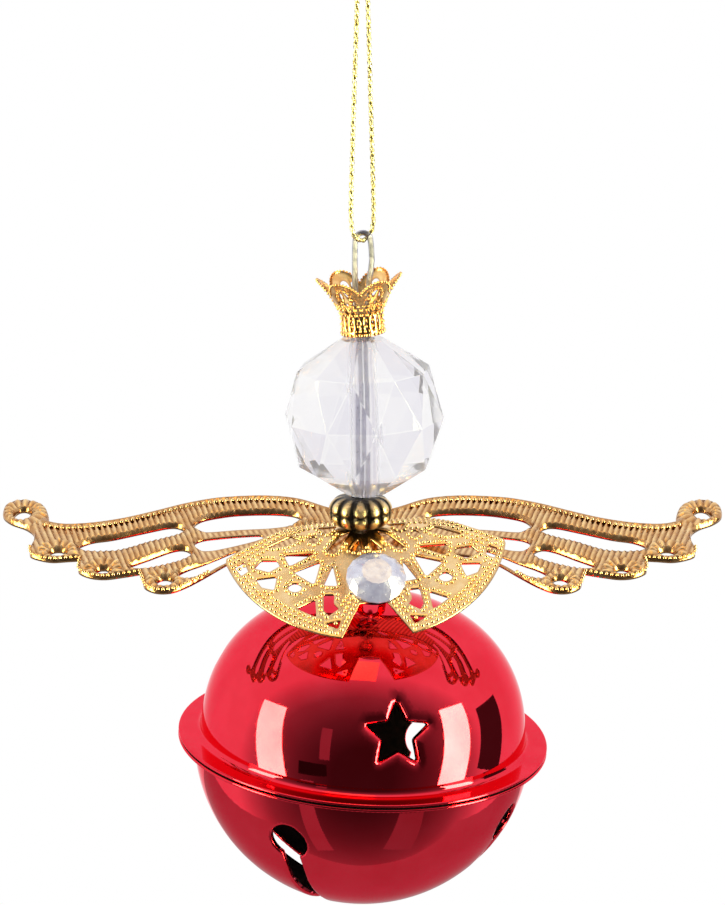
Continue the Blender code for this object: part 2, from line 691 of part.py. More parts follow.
def build_shank(lacquer, pivot):
    """The bell's loop: an arch whose two feet spread under the upper shell to hold it."""
    crown = 1.0 - SHANK_RADIUS
    under = -BELL_CENTRE_DROP + UPPER_HEIGHT - BELL_WALL - SHANK_WIRE / 2 - 0.3
    arch = arc((0.0, crown), SHANK_RADIUS, 0, 180, 8)
    right = [(3.0, under), (2.2, under + 0.05), (1.65, under + 0.35), (SHANK_RADIUS, under + 1.0)]
    left = [(-x, z) for x, z in reversed(right)]
    route = [(x, 0.0, z) for x, z in right + arch + left]
    tube("bell_shank", smooth_run(route, 2), SHANK_WIRE, lacquer, pivot)


def build_link(material):
    """The jump ring, with the small slit where it was closed, at its side."""
    radius = LINK_CENTRE - BELL_PIVOT
    route = [(EYE_OFFSET, y, z) for y, z in arc((0.0, LINK_CENTRE), radius, 4, 356, 30)]
    tube("jump_ring", route, WIRE, material)


def build_ball(material, centre):
    """The loose pellet, resting at the bottom of the bowl."""
    rest = -(LOWER_HEIGHT - BELL_WALL - BALL_RADIUS - BALL_GAP)
    edit = bmesh.new()
    bmesh.ops.create_icosphere(edit, subdivisions=2, radius=BALL_RADIUS * MM)
    bmesh.ops.translate(edit, vec=(0.0, 0.0, rest * MM), verts=edit.verts)
    mesh = bpy.data.meshes.new("jingle_ball")
    edit.to_mesh(mesh)
    edit.free()
    mesh.shade_smooth()
    made = bpy.data.objects.new("jingle_ball", mesh)
    made.data.materials.append(material)
    made.parent = centre
    bpy.context.scene.collection.objects.link(made)


def build_all():
    clear_scene()
    gold = make_material("gold", (0.83, 0.6, 0.25), 0.25, 1.0)
    antique = make_material("antique_gold", (0.45, 0.36, 0.2), 0.4, 1.0)
    thread = make_material("gold_thread", (0.75, 0.6, 0.22), 0.45, 0.6)
    steel = make_material("steel", (0.62, 0.6, 0.62), 0.25, 1.0)
    acrylic = make_material("acrylic", (0.95, 0.94, 0.97), 0.05, 0.0, 0.35)
    stone = make_material("rhinestone", (0.8, 0.8, 0.88), 0.08, 0.5)
    lacquer = make_material("red_lacquer", (0.62, 0.01, 0.03), 0.08, 0.9)

    build_knot(thread)
    build_cord(thread)
    build_wire(steel)
    build_crown(gold)
    build_head(acrylic)
    build_spacer(antique)
    build_collar(gold)
    build_gem(stone)
    build_wings(gold)
    build_link(steel)
    pivot = add_empty("bell_pivot", (EYE_OFFSET, 0.0, BELL_PIVOT), (0.0, BELL_TILT, 0.0))
    centre = add_empty("bell_centre", (0.0, 0.0, -BELL_CENTRE_DROP))
    centre.parent = pivot
    build_shank(lacquer, pivot)
    build_bell_shells(lacquer, centre)
    build_ball(steel, centre)


build_all()
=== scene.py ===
"""Angel bell ornament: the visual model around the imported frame.

Everything is made from the frame's axes: the origin is the hang point at the cord's knot, +Z is up and
+X runs along the wings. Lengths are in millimetres until a mesh or curve is made, and in metres for
the studio round the object.
"""

import math

import bmesh
import bpy
import numpy as np
from mathutils import Euler, Matrix, Vector
from mathutils.geometry import delaunay_2d_cdt


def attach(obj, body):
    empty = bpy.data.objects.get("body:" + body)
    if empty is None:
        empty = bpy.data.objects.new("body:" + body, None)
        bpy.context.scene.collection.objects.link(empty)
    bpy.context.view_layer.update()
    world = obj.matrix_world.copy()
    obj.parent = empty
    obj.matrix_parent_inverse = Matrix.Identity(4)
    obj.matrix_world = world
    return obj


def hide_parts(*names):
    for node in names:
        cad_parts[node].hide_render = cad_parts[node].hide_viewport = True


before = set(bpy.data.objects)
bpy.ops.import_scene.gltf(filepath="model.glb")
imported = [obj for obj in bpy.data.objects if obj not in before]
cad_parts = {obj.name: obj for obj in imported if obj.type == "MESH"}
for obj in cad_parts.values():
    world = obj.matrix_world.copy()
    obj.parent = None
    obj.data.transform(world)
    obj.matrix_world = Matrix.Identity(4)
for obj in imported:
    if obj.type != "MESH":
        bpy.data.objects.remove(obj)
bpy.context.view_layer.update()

MM = 0.001

# ---- driving dimensions
EYE_TOP = -36.25
WIRE = 0.7
CORD = 0.6
KNOT_HEIGHT = 2.4

CROWN_BASE = -48.95
CROWN_HEIGHT = 7.1
CROWN_BASE_RADIUS = 2.6
CROWN_RIM_RADIUS = 5.2
CROWN_PETALS = 6
CROWN_TILT = -4.5
CROWN_PETAL_DEPTH = 0.24
CROWN_STRAIGHT = 0.36
CROWN_FLARE = 1.25
CROWN_WALL = 0.22
CROWN_ROLLED_EDGE = 0.1

HEAD_CENTRE = -59.3
HEAD_OFFSET = 0.2
HEAD_RADIUS = 10.0
HEAD_HALF_HEIGHT = 9.85
HEAD_FLAT_RADIUS = 2.7
HEAD_SHOULDER_RADIUS = 8.3
HEAD_SHOULDER_HEIGHT = 6.1
HEAD_SIDES = 10
HEAD_TILT = -1.2
HEAD_PHASE = 9.0
HEAD_BORE = 1.5
HEAD_BEVEL = 0.07
HEAD_CREASE = math.radians(12.0)

SPACER_CENTRE = -71.6
SPACER_OFFSET = -0.25
SPACER_RADIUS = 4.0
SPACER_HALF_HEIGHT = 1.9
SPACER_LOBES = 12
SPACER_HOLE = 1.25
SPACER_END_SHARE = 0.56
SPACER_RIB_DEPTH = 0.1
SPACER_PINCH = 0.045
SPACER_PINCH_WIDTH = 0.16

SHEET = 0.3
HUB_HOLE = 1.0
COLLAR_HUB = -73.95
COLLAR_RADIUS = 18.1
COLLAR_SLOPE = 0.49
COLLAR_BEND_AT = 1.0
COLLAR_YAW = math.radians(6.0)
COLLAR_ROLL = math.tan(math.radians(2.4))
COLLAR_RIDGE = 0.04
COLLAR_BEAD = 0.27
COLLAR_BEAD_PITCH = 0.68
COLLAR_BEAD_GAP = 0.56
GEM_RADIUS = 3.7
GEM_HEIGHT = 1.9
GEM_FORWARD = 9.9
GEM_ASIDE = 0.6
STONE_LEAN = math.radians(12.0)
STONE_LIFT = 0.35
STONE_SIDES = 16

WING_HUB = -74.9
WING_PLANE = -76.0
WING_SLOPE = math.tan(math.radians(11.0))
WING_HUB_RADIUS = 1.5
WING_SKIRT_RADIUS = 4.0

EYE_OFFSET = 1.25
BELL_PIVOT = -80.65
BELL_CENTRE_DROP = 21.1
BELL_TILT = math.radians(3.3)
UPPER_RADIUS = 20.9
UPPER_HEIGHT = 18.5
UPPER_EXPONENT = 2.3
LOWER_RADIUS = 21.7
LOWER_HEIGHT = 21.4
BELL_WALL = 0.5
FLANGE_RADIUS = 23.75
DOME_END = 86.5
FILLET = 0.75
LIP = 0.4
LIP_GAP = 0.1
LIP_EDGE_TURN = 162.0
NECK_HOLE = 2.3
POLE_HOLE = 0.35
STARS = 3
STAR_AZIMUTH = 11.6
STAR_LATITUDE = 22.0
STAR_OUTER = 4.3
STAR_INNER = 2.0
KEYHOLES = 4
KEYHOLE_AZIMUTH = -25.4
KEYHOLE_LATITUDE = -21.0
KEYHOLE_RADIUS = 2.5
SLOT_WIDTH = 2.4
SLOT_STEP = 0.6
STAR_ROUNDING = 0.13

# ---- camera
CAMERA_DISTANCE = 300.0
CAMERA_PITCH = math.radians(15.0)
CAMERA_TARGET = -64.0
LENS = 95.5


def add_camera():
    """The viewing angle: level with the object's front, looking 15 degrees down."""
    data = bpy.data.cameras.new("camera")
    data.lens = LENS
    data.sensor_width = 36.0
    data.clip_start = 0.01
    made = bpy.data.objects.new("camera", data)
    back = Vector((0.0, -math.cos(CAMERA_PITCH), math.sin(CAMERA_PITCH))) * CAMERA_DISTANCE
    made.location = (back + Vector((0.0, 0.0, CAMERA_TARGET))) * MM
    made.rotation_euler = (math.radians(90.0) - CAMERA_PITCH, 0.0, 0.0)
    bpy.context.scene.collection.objects.link(made)
    bpy.context.scene.camera = made


# ---- mesh helpers
def add_piece(mesh, body, node):
    """A mesh as a piece that moves with a body and stands for a CAD node."""
    made = bpy.data.objects.new(mesh.name, mesh)
    bpy.context.scene.collection.objects.link(made)
    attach(made, body)
    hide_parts(node)
    return made


def sweep(steps):
    return [2 * math.pi * i / steps for i in range(steps)]


def circle(radius, steps, *height, phase=0.0):
    """Points evenly spaced round a circle, with a height where one is given."""
    angles = [2 * math.pi * (i + phase) / steps for i in range(steps)]
    return [(radius * math.cos(a), radius * math.sin(a), *height) for a in angles]


def oval(centre, along, aside, steps=24):
    return [(centre[0] + along * math.cos(a), centre[1] + aside * math.sin(a)) for a in sweep(steps)]


def arc(centre, radius, start, end, steps):
    angles = [math.radians(start + (end - start) * i / steps) for i in range(steps + 1)]
    return [(centre[0] + radius * math.cos(a), centre[1] + radius * math.sin(a)) for a in angles]


def smooth_run(points, per_span, closed=False):
    """Points on a Catmull-Rom curve through the given ones, per_span steps between each two."""
    given = [Vector(p) for p in points]
    if closed:
        padded = [given[-1], *given, given[0], given[1]]
    else:
        padded = [given[0] * 2 - given[1], *given, given[-1] * 2 - given[-2]]
    run = []
    for a, b, c, d in zip(padded, padded[1:], padded[2:], padded[3:]):
        for step in range(per_span):
            t = step / per_span
            curve = (b * 2) + (c - a) * t + (a * 2 - b * 5 + c * 4 - d) * t**2
            run.append((curve + (b * 3 - a - c * 3 + d) * t**3) * 0.5)
    return run if closed else run + [given[-1]]


def resample(points, step, closed=False):
    """Points one step apart along a line of points, so that small detail sits evenly on it."""
    line = np.array([tuple(p) for p in points], float)
    if closed:
        line = np.vstack([line, line[:1]])
    along = np.concatenate([[0.0], np.cumsum(np.linalg.norm(np.diff(line, axis=0), axis=1))])
    count = max(3, round(along[-1] / step))
    wanted = np.linspace(0.0, along[-1], count + (0 if closed else 1), endpoint=not closed)
    return np.stack([np.interp(wanted, along, line[:, k]) for k in range(line.shape[1])], axis=1)


def mesh_from(name, points, faces, materials, sharp=None):
    """A mesh from millimetre points, faces and a list of materials."""
    mesh = bpy.data.meshes.new(name)
    mesh.from_pydata((np.asarray(points, float) * MM).tolist(), [], [tuple(f) for f in faces])
    mesh.shade_smooth()
    if sharp is not None:
        mesh.set_sharp_from_angle(angle=math.radians(sharp))
    for material in materials:
        mesh.materials.append(material)
    return mesh


def outward(mesh):
    edit = bmesh.new()
    edit.from_mesh(mesh)
    bmesh.ops.recalc_face_normals(edit, faces=edit.faces)
    edit.to_mesh(mesh)
    edit.free()


def ring_faces(rows, columns, wrap_rows):
    faces = []
    for i in range(rows if wrap_rows else rows - 1):
        for j in range(columns):
            below, above = i * columns, (i + 1) % rows * columns
            k = (j + 1) % columns
            faces.append((below + j, below + k, above + k, above + j))
    return faces


def tube_points(route, radius, sides, ripple=None):
    """Points and faces of a round tube along a route, with capped ends.

    ripple(along, angle) scales the radius, for the plies of a thread.
    """
    line = [Vector(p) for p in route]
    tangents = []
    for i in range(len(line)):
        tangents.append((line[min(i + 1, len(line) - 1)] - line[max(i - 1, 0)]).normalized())
    side = tangents[0].orthogonal().normalized()
    points, faces, along = [], [], 0.0
    for i, (place, tangent) in enumerate(zip(line, tangents)):
        if i:
            along += (place - line[i - 1]).length
            side = (side - tangent * side.dot(tangent)).normalized()
        other = tangent.cross(side)
        for angle in sweep(sides):
            reach = radius * (ripple(along, angle) if ripple else 1.0)
            offset = side * math.cos(angle) * reach + other * math.sin(angle) * reach
            points.append(tuple(place + offset))
    faces = ring_faces(len(line), sides, wrap_rows=False)
    faces.append(tuple(reversed(range(sides))))
    faces.append(tuple(range(len(points) - sides, len(points))))
    return points, faces


def joined(parts):
    """One list of points and one of faces from several."""
    points, faces = [], []
    for some_points, some_faces in parts:
        first = len(points)
        points += [tuple(p) for p in some_points]
        faces += [tuple(i + first for i in face) for face in some_faces]
    return points, faces


def bead(place, normal, radius, height, rows=3, sides=8):
    """A low dome standing on a surface, as points and faces."""
    normal = Vector(normal).normalized()
    side = normal.orthogonal().normalized()
    other = normal.cross(side)
    points, faces = [], []
    for i in range(rows):
        up = math.pi / 2 * i / rows
        for angle in sweep(sides):
            spread = (side * math.cos(angle) + other * math.sin(angle)) * radius * math.cos(up)
            points.append(tuple(Vector(place) + spread + normal * height * math.sin(up)))
    points.append(tuple(Vector(place) + normal * height))
    faces = ring_faces(rows, sides, wrap_rows=False)
    top = len(points) - 1
    first = (rows - 1) * sides
    faces += [(first + j, first + (j + 1) % sides, top) for j in range(sides)]
    faces.append(tuple(reversed(range(sides))))
    return points, faces


def moved(points, matrix):
    """Points after a 4 x 4 matrix."""
    turn = np.array(matrix)
    return np.asarray(points, float) @ turn[:3, :3].T + turn[:3, 3]


def add_beading(name, parts, material, body, node, place=None):
    """Joins small raised pieces into one bright object that stands for part of a CAD node."""
    points, faces = joined(parts)
    mesh = mesh_from(name, moved(points, place or Matrix()), faces, [material], sharp=60)
    outward(mesh)
    set_wear_and_painted_shade(add_piece(mesh, body, node), np.ones(len(points)))


# ---- thin sheets
def inside_many(points, loop):
    """For each point, whether it lies inside a closed loop in the plane."""
    points = np.asarray(points, float)
    loop = np.asarray(loop, float)
    x, y = points[:, 0], points[:, 1]
    found = np.zeros(len(points), bool)
    for (x1, y1), (x2, y2) in zip(loop, np.roll(loop, -1, axis=0)):
        if y1 == y2:
            continue
        crosses = (y1 > y) != (y2 > y)
        found ^= crosses & (x < (x2 - x1) * (y - y1) / (y2 - y1) + x1)
    return found


def edge_distance(points, loops):
    """The distance from each point to the nearest of the loops."""
    points = np.asarray(points, float)
    best = np.full(len(points), np.inf)
    for loop in loops:
        starts = np.asarray(loop, float)
        ways = np.roll(starts, -1, axis=0) - starts
        for (sx, sy), (wx, wy) in zip(starts, ways):
            size = wx * wx + wy * wy
            share = np.clip(((points[:, 0] - sx) * wx + (points[:, 1] - sy) * wy) / size, 0.0, 1.0)
            gap = np.hypot(points[:, 0] - sx - share * wx, points[:, 1] - sy - share * wy)
            best = np.minimum(best, gap)
    return best


def inset(loop, distance):
    """A closed loop moved inwards by a distance, or outwards if that is negative."""
    loop = np.asarray(loop, float)
    way = np.roll(loop, -1, axis=0) - np.roll(loop, 1, axis=0)
    way /= np.linalg.norm(way, axis=1, keepdims=True)
    x, y = loop[:, 0], loop[:, 1]
    area = np.sum(x * np.roll(y, -1) - np.roll(x, -1) * y)
    left = np.stack([-way[:, 1], way[:, 0]], axis=1) * np.sign(area)
    return loop + left * distance


def flat_mesh(outline, holes, extra):
    """Points and triangles of a plane sheet with holes, which uses the extra points inside it."""
    loops = [np.asarray(loop, float) for loop in [outline, *holes]]
    flat, edges, first = [], [], 0
    for loop in loops:
        flat.append(loop)
        edges += [(first + i, first + (i + 1) % len(loop)) for i in range(len(loop))]
        first += len(loop)
    flat.append(np.asarray(extra, float).reshape(-1, 2))
    every = [Vector(p) for p in np.vstack(flat).tolist()]
    where, _, cells, *_ = delaunay_2d_cdt(every, edges, [], 1, 1e-6)
    where = np.array([tuple(p) for p in where])
    cells = np.array([c for c in cells if len(c) == 3])
    middles = where[cells].mean(axis=1)
    keep = inside_many(middles, loops[0])
    for hole in loops[1:]:
        keep &= ~inside_many(middles, hole)
    cells = cells[keep]
    used, index = np.unique(cells, return_inverse=True)
    return where[used], index.reshape(cells.shape)


def thicken(flat, cells, upper, lower):
    """A closed sheet from triangles in the plane and the upper and lower point of each plane point."""
    count = len(flat)
    points = np.vstack([upper, lower])
    faces = [tuple(c) for c in cells] + [(c[2] + count, c[1] + count, c[0] + count) for c in cells]
    ways = {(int(c[i]), int(c[(i + 1) % 3])) for c in cells for i in range(3)}
    faces += [(b, a, a + count, b + count) for a, b in sorted(ways) if (b, a) not in ways]
    return points, faces


def grid_inside(outline, holes, step, margin):
    """A staggered grid of plane points that keeps a margin from every edge."""
    outline = np.asarray(outline, float)
    low, high = outline.min(axis=0), outline.max(axis=0)
    xs = np.arange(low[0], high[0], step)
    ys = np.arange(low[1], high[1], step * 0.866)
    grid = np.array([(x + (step / 2 if row % 2 else 0.0), y) for row, y in enumerate(ys) for x in xs])
    keep = inside_many(grid, outline)
    grid = grid[keep]
    for hole in holes:
        grid = grid[~inside_many(grid, hole)]
    return grid[edge_distance(grid, [outline, *holes]) > margin]


def add_sheet(name, flat, cells, upper, lower, materials, body, node, normals=None):
    """A thin sheet as one piece. Its two sides are smooth and its cut edges stay crisp."""
    points, faces = thicken(flat, cells, upper, lower)
    if normals is None:
        normals = side_normals(np.asarray(upper, float), cells)
    mesh = mesh_from(name, points, faces, materials)
    count = len(flat)
    given = []
    for face in faces:
        if max(face) < count:
            given += [tuple(normals[i]) for i in face]
        elif min(face) >= count:
            given += [tuple(-normals[i - count]) for i in face]
        else:
            given += [(0.0, 0.0, 0.0)] * len(face)
    mesh.normals_split_custom_set(given)
    return add_piece(mesh, body, node)


def side_normals(points, cells):
    """Smooth normals of a triangulated surface, one per point."""
    a, b, c = (points[cells[:, k]] for k in range(3))
    across = np.cross(b - a, c - a)
    total = np.zeros_like(points)
    for k in range(3):
        np.add.at(total, cells[:, k], across)
    size = np.linalg.norm(total, axis=1, keepdims=True)
    return total / np.where(size > 0, size, 1.0)


# ---- materials
class Nodes:
    """A material and short ways to add nodes to it."""

    def __init__(self, name):
        self.material = bpy.data.materials.new(name)
        self.material.use_nodes = True
        self.tree = self.material.node_tree
        self.shader = self.tree.nodes["Principled BSDF"]

    def add(self, kind, inputs=None, **settings):
        node = self.tree.nodes.new(kind)
        for key, value in settings.items():
            setattr(node, key, value)
        for key, value in (inputs or {}).items():
            self.plug(node, key, value)
        return node

    def plug(self, node, key, value):
        """Links a socket to one of the node's inputs, or sets the input to a value."""
        if isinstance(value, bpy.types.NodeSocket):
            self.tree.links.new(value, node.inputs[key])
        else:
            node.inputs[key].default_value = value

    def attribute(self, name):
        return self.add("ShaderNodeAttribute", attribute_name=name).outputs["Fac"]

    def noise(self, size_mm, detail=3.0):
        """Noise whose lumps are about this size."""
        place = self.add("ShaderNodeTexCoord").outputs["Object"]
        inputs = {"Vector": place, "Scale": 1.0 / (size_mm * MM), "Detail": detail}
        return self.add("ShaderNodeTexNoise", inputs).outputs["Fac"]

    def ramp(self, value, low, high, start=0.35, end=0.65):
        """A colour that runs from low to high as the value goes from start to end."""
        node = self.add("ShaderNodeValToRGB", {"Fac": value})
        first, last = node.color_ramp.elements
        first.position, last.position = start, end
        first.color, last.color = (*low, 1.0), (*high, 1.0)
        return node.outputs["Color"]

    def span(self, value, low, high):
        inputs = {"Value": value, "From Min": 0.3, "From Max": 0.7, "To Min": low, "To Max": high}
        return self.add("ShaderNodeMapRange", inputs).outputs["Result"]

    def finish(self, tone, metallic, rough, grain=None, **others):
        """Sets the shader. rough is (lump size, low, high) and grain (lump size, depth, strength),
        either with the noise's detail after them; others are sockets with underscores for spaces."""
        size, low, high, *detail = rough
        values = {"Base Color": tone, "Metallic": metallic,
                  "Roughness": self.span(self.noise(size, *detail), low, high)}
        if grain:
            size, depth, strength, *detail = grain
            inputs = {"Height": self.noise(size, *detail), "Distance": depth * MM, "Strength": strength}
            values["Normal"] = self.add("ShaderNodeBump", inputs).outputs["Normal"]
        values.update({key.replace("_", " "): value for key, value in others.items()})
        for key, value in values.items():
            self.plug(self.shader, key, value)
        return self.material


def gold_material(name, low, high):
    """Bright plating from a low to a high tone, darker and redder where the attribute read below is low:
    painted shade in recesses and at edges, with a painted red reflection of the bell.
    """
    nodes = Nodes(name)
    tone = nodes.ramp(nodes.noise(1.6), low, high)
    mix = nodes.add("ShaderNodeMix", {0: nodes.attribute("wear_and_painted_shade")}, data_type="RGBA")
    # painted shade and a painted red reflection of the bell, mixed in where the attribute is low
    mix.inputs[6].default_value = (0.30, 0.10, 0.025, 1.0)
    nodes.plug(mix, 7, tone)
    return nodes.finish(mix.outputs[2], 1.0, (0.5, 0.14, 0.26), (0.25, 0.012, 0.3))


def antique_material():
    """Blackened gold that is rubbed bright on its ribs."""
    nodes = Nodes("antique_gold")
    tone = nodes.ramp(nodes.attribute("wear_and_painted_shade"), (0.03, 0.024, 0.02), (0.82, 0.60, 0.32), 0.5, 1.0)
    return nodes.finish(tone, 1.0, (0.3, 0.22, 0.45), (0.35, 0.08, 0.6))


def lacquer_material():
    """Transparent red over bright metal, with the faint unevenness of a dipped coat."""
    nodes = Nodes("red_lacquer")
    tone = nodes.ramp(nodes.noise(6.0), (0.80, 0.020, 0.042), (0.87, 0.030, 0.058))
    return nodes.finish(tone, 1.0, (0.6, 0.02, 0.06, 6.0), (3.5, 0.02, 0.35, 1.0),
                        Specular_Tint=(1.0, 0.45, 0.5, 1.0), Coat_Weight=0.15, Coat_Roughness=0.02)


def inside_material():
    """The bell's inner side: dull metal whose near-black tone is painted shade for the unlit inside."""
    nodes = Nodes("bell_inside")
    tone = nodes.ramp(nodes.noise(1.5), (0.02, 0.012, 0.012), (0.05, 0.02, 0.02))
    return nodes.finish(tone, 0.6, (0.8, 0.5, 0.7))


def steel_material():
    nodes = Nodes("steel_wire")
    tone = nodes.ramp(nodes.noise(1.2), (0.30, 0.30, 0.37), (0.46, 0.45, 0.53))
    return nodes.finish(tone, 1.0, (0.6, 0.26, 0.4), (0.4, 0.01, 0.3))


def thread_material():
    """Metallic foil thread: gold plies with paler and darker flecks."""
    nodes = Nodes("gold_thread")
    tone = nodes.ramp(nodes.noise(0.28), (0.25, 0.19, 0.05), (1.0, 0.88, 0.50), 0.40, 0.56)
    return nodes.finish(tone, 0.8, (0.2, 0.25, 0.5), (0.12, 0.04, 0.6))


def acrylic_material():
    """Clear acrylic whose facets pass slightly different light."""
    nodes = Nodes("clear_acrylic")
    tone = nodes.ramp(nodes.attribute("facet"), (0.83, 0.815, 0.885), (0.985, 0.98, 0.99), 0.1, 0.9)
    return nodes.finish(tone, 0.0, (3.0, 0.0, 0.03), Transmission_Weight=0.84, IOR=1.22)


def stone_material():
    """A foil-backed stone: silvery facets under a clear polish."""
    nodes = Nodes("rhinestone")
    tone = nodes.ramp(nodes.noise(0.9), (0.58, 0.57, 0.69), (0.74, 0.74, 0.84))
    return nodes.finish(tone, 0.4, (0.6, 0.18, 0.3), Coat_Weight=0.7, Coat_Roughness=0.05)


def set_wear_and_painted_shade(made, values):
    """Stores a value from 0 to 1 for each point of a mesh: rubbing and patina on the antique spacer,
    painted shade on the gold plating.
    """
    layer = made.data.attributes.new("wear_and_painted_shade", "FLOAT", "POINT")
    layer.data.foreach_set("value", np.clip(np.asarray(values, float), 0.0, 1.0))


# ---- cord, knot and wire
def cord_route():
    """The loop of cord: down from the knot, through the wire's eye and back up to the knot."""
    eye = EYE_TOP - WIRE / 2 - CORD / 2 - 0.2
    return [
        (-0.35, 0.0, -1.6), (-0.5, -0.1, -4.5), (-0.75, -0.2, -12.0), (-1.05, -0.3, -21.0),
        (-1.3, -0.45, -29.0), (-1.4, -0.7, -34.0), (-1.1, -0.9, eye + 0.8), (-0.45, -0.55, eye + 0.1),
        (0.1, 0.0, eye - 0.1), (0.6, 0.6, eye + 0.2), (1.15, 0.9, eye + 1.1), (1.35, 0.7, -34.0),
        (1.25, 0.45, -29.0), (1.0, 0.3, -21.0), (0.75, 0.2, -12.0), (0.5, 0.1, -4.5),
        (0.35, 0.0, -1.6),
    ]


PLY_PITCH = 1.05
THREAD_STEP = 0.12


def ply_ripple(along, angle):
    """Three plies laid round each other, so the outline turns as it runs along the thread."""
    return 0.82 + 0.18 * math.cos(3 * (angle - 2 * math.pi * along / (3 * PLY_PITCH)))


def add_cord(material):
    route = smooth_run(cord_route(), 8)
    fine = resample(route, THREAD_STEP)
    points, faces = tube_points(fine, CORD / 2, 12, ripple=ply_ripple)
    mesh = mesh_from("cord_thread", points, faces, [material])
    made = add_piece(mesh, "cord", "cord_loop")


def add_knot(material):
    """A small knot: three crossed turns of thread round a core, with its two tails."""
    parts = []
    for tilt, size in ((0.5, 0.86), (-0.55, 0.8), (0.05, 0.95)):
        turn = Matrix.Rotation(tilt, 3, "Y") @ Matrix.Rotation(0.35 * tilt, 3, "X")
        loop = [turn @ Vector((0.95 * size * math.cos(a), 0.55 * size * math.sin(a), 0.0))
                for a in sweep(40)]
        loop.append(loop[0])
        parts.append(tube_points(resample(loop, THREAD_STEP), CORD / 2, 10, ripple=ply_ripple))
    for side in (-1, 1):
        tail = [(0.1 * side, 0.0, -0.9), (0.3 * side, 0.0, 0.3), (0.75 * side, 0.05, 1.7),
                (1.05 * side, 0.1, 3.2 + 0.4 * side), (1.15 * side, 0.1, 4.1 + 0.5 * side)]
        tail = resample(smooth_run(tail, 8), THREAD_STEP)
        parts.append(tube_points(tail, CORD / 2, 10, ripple=ply_ripple))
    core = [(0.0, 0.0, -KNOT_HEIGHT / 2 + 0.15), (0.0, 0.0, 0.0), (0.0, 0.0, KNOT_HEIGHT / 2 - 0.3)]
    parts.append(tube_points(resample(core, THREAD_STEP), 0.42, 10))
    points, faces = joined(parts)
    add_piece(mesh_from("knot", points, faces, [material]), "knot", "cord_knot")


# ---- crown
CROWN_PATTERN_CENTRE = 3.0
PETAL_WINDOW = 4.95
# The holes of one petal: turn from its middle, height, half width, half height and how far it narrows.
PETAL_HOLES = [(0.0, PETAL_WINDOW, 0.68, 1.05, 0.75), (0.0, 1.6, 0.2, 0.85, 0.3),
               (0.35, 1.6, 0.2, 0.85, 0.3), (0.175, 3.1, 0.19, 0.3, 0.0), (0.3, 4.35, 0.2, 0.34, 0.0),
               (0.27, 5.45, 0.16, 0.3, 0.0)]


def crown_rim(turn):
    """The wall's height there: full at each petal's tip and less between petals."""
    petal = abs(math.cos(CROWN_PETALS * turn / 2)) ** 0.8
    return CROWN_HEIGHT * (1 - CROWN_PETAL_DEPTH * (1 - petal))


def crown_surface(flat, depth):
    """The crown's wall from its flat pattern, a ring whose inner circle is the wall's foot."""
    turn = np.arctan2(flat[:, 1], flat[:, 0])
    height = np.hypot(flat[:, 0], flat[:, 1]) - CROWN_PATTERN_CENTRE
    share = np.clip((height / CROWN_HEIGHT - CROWN_STRAIGHT) / (1 - CROWN_STRAIGHT), 0.0, 1.0)
    radius = CROWN_BASE_RADIUS + (CROWN_RIM_RADIUS - CROWN_BASE_RADIUS) * share**CROWN_FLARE - depth
    return np.stack([radius * np.cos(turn), radius * np.sin(turn), height], axis=1)


def pattern_point(turn, height):
    reach = CROWN_PATTERN_CENTRE + height
    return (reach * math.cos(turn), reach * math.sin(turn))


def pattern_oval(turn, height, wide, tall, pointed=0.0, steps=18):
    """A hole in the crown's wall, wide and tall in millimetres there, that may narrow downwards."""
    radius = float(np.hypot(*crown_surface(np.array([pattern_point(turn, height)]), 0.0)[0, :2]))
    loop = []
    for angle in sweep(steps):
        rise = math.sin(angle)
        narrow = 1.0 - pointed * max(0.0, -rise)
        loop.append(pattern_point(turn + wide * math.cos(angle) * narrow / radius, height + tall * rise))
    return loop


# Height, count and size of the rows of beads round the crown's wall.
CROWN_ROWS = [(0.22, 26, 0.27), (0.75, 26, 0.2), (1.35, 18, 0.22), (2.1, 18, 0.2), (2.75, 24, 0.24),
              (3.45, 24, 0.24), (3.95, 30, 0.17)]


def crown_holes(petals):
    holes = [circle(CROWN_PATTERN_CENTRE, 96)]
    for turn in petals:
        for aside, height, wide, tall, pointed in PETAL_HOLES:
            for side in (1, -1) if aside else (0,):
                holes.append(pattern_oval(turn + side * aside, height, wide, tall, pointed))
    return holes


def crown_beads(petals, outline):
    """Beads along the rim, in rows round the wall and round each petal's window, and the floor."""
    parts = []
    for x, y, z in resample(crown_surface(np.array(outline), 0.05), 0.42, closed=True):
        parts.append(bead((x, y, z), (x, y, 0.6), 0.2, 0.2, sides=7))
    for height, count, size in CROWN_ROWS:
        for turn in sweep(count):
            x, y, z = crown_surface(np.array([pattern_point(turn, height)]), 0.03)[0]
            parts.append(bead((x, y, z), (x, y, -0.2), size, size, sides=7))
    for turn in petals:
        ring = pattern_oval(turn, PETAL_WINDOW, 0.88, 1.27, pointed=0.6, steps=16)
        for x, y, z in crown_surface(np.array(ring), 0.03):
            parts.append(bead((x, y, z), (x, y, -0.5), 0.16, 0.18, sides=6))
    rings = [(1.1, 0.0), (2.3, 0.0), (2.55, 0.05), (2.55, 0.2), (1.1, 0.25)]
    floor = [point for radius, height in rings for point in circle(radius, 48, height)]
    parts.append((floor, ring_faces(len(rings), 48, wrap_rows=True)))
    return parts


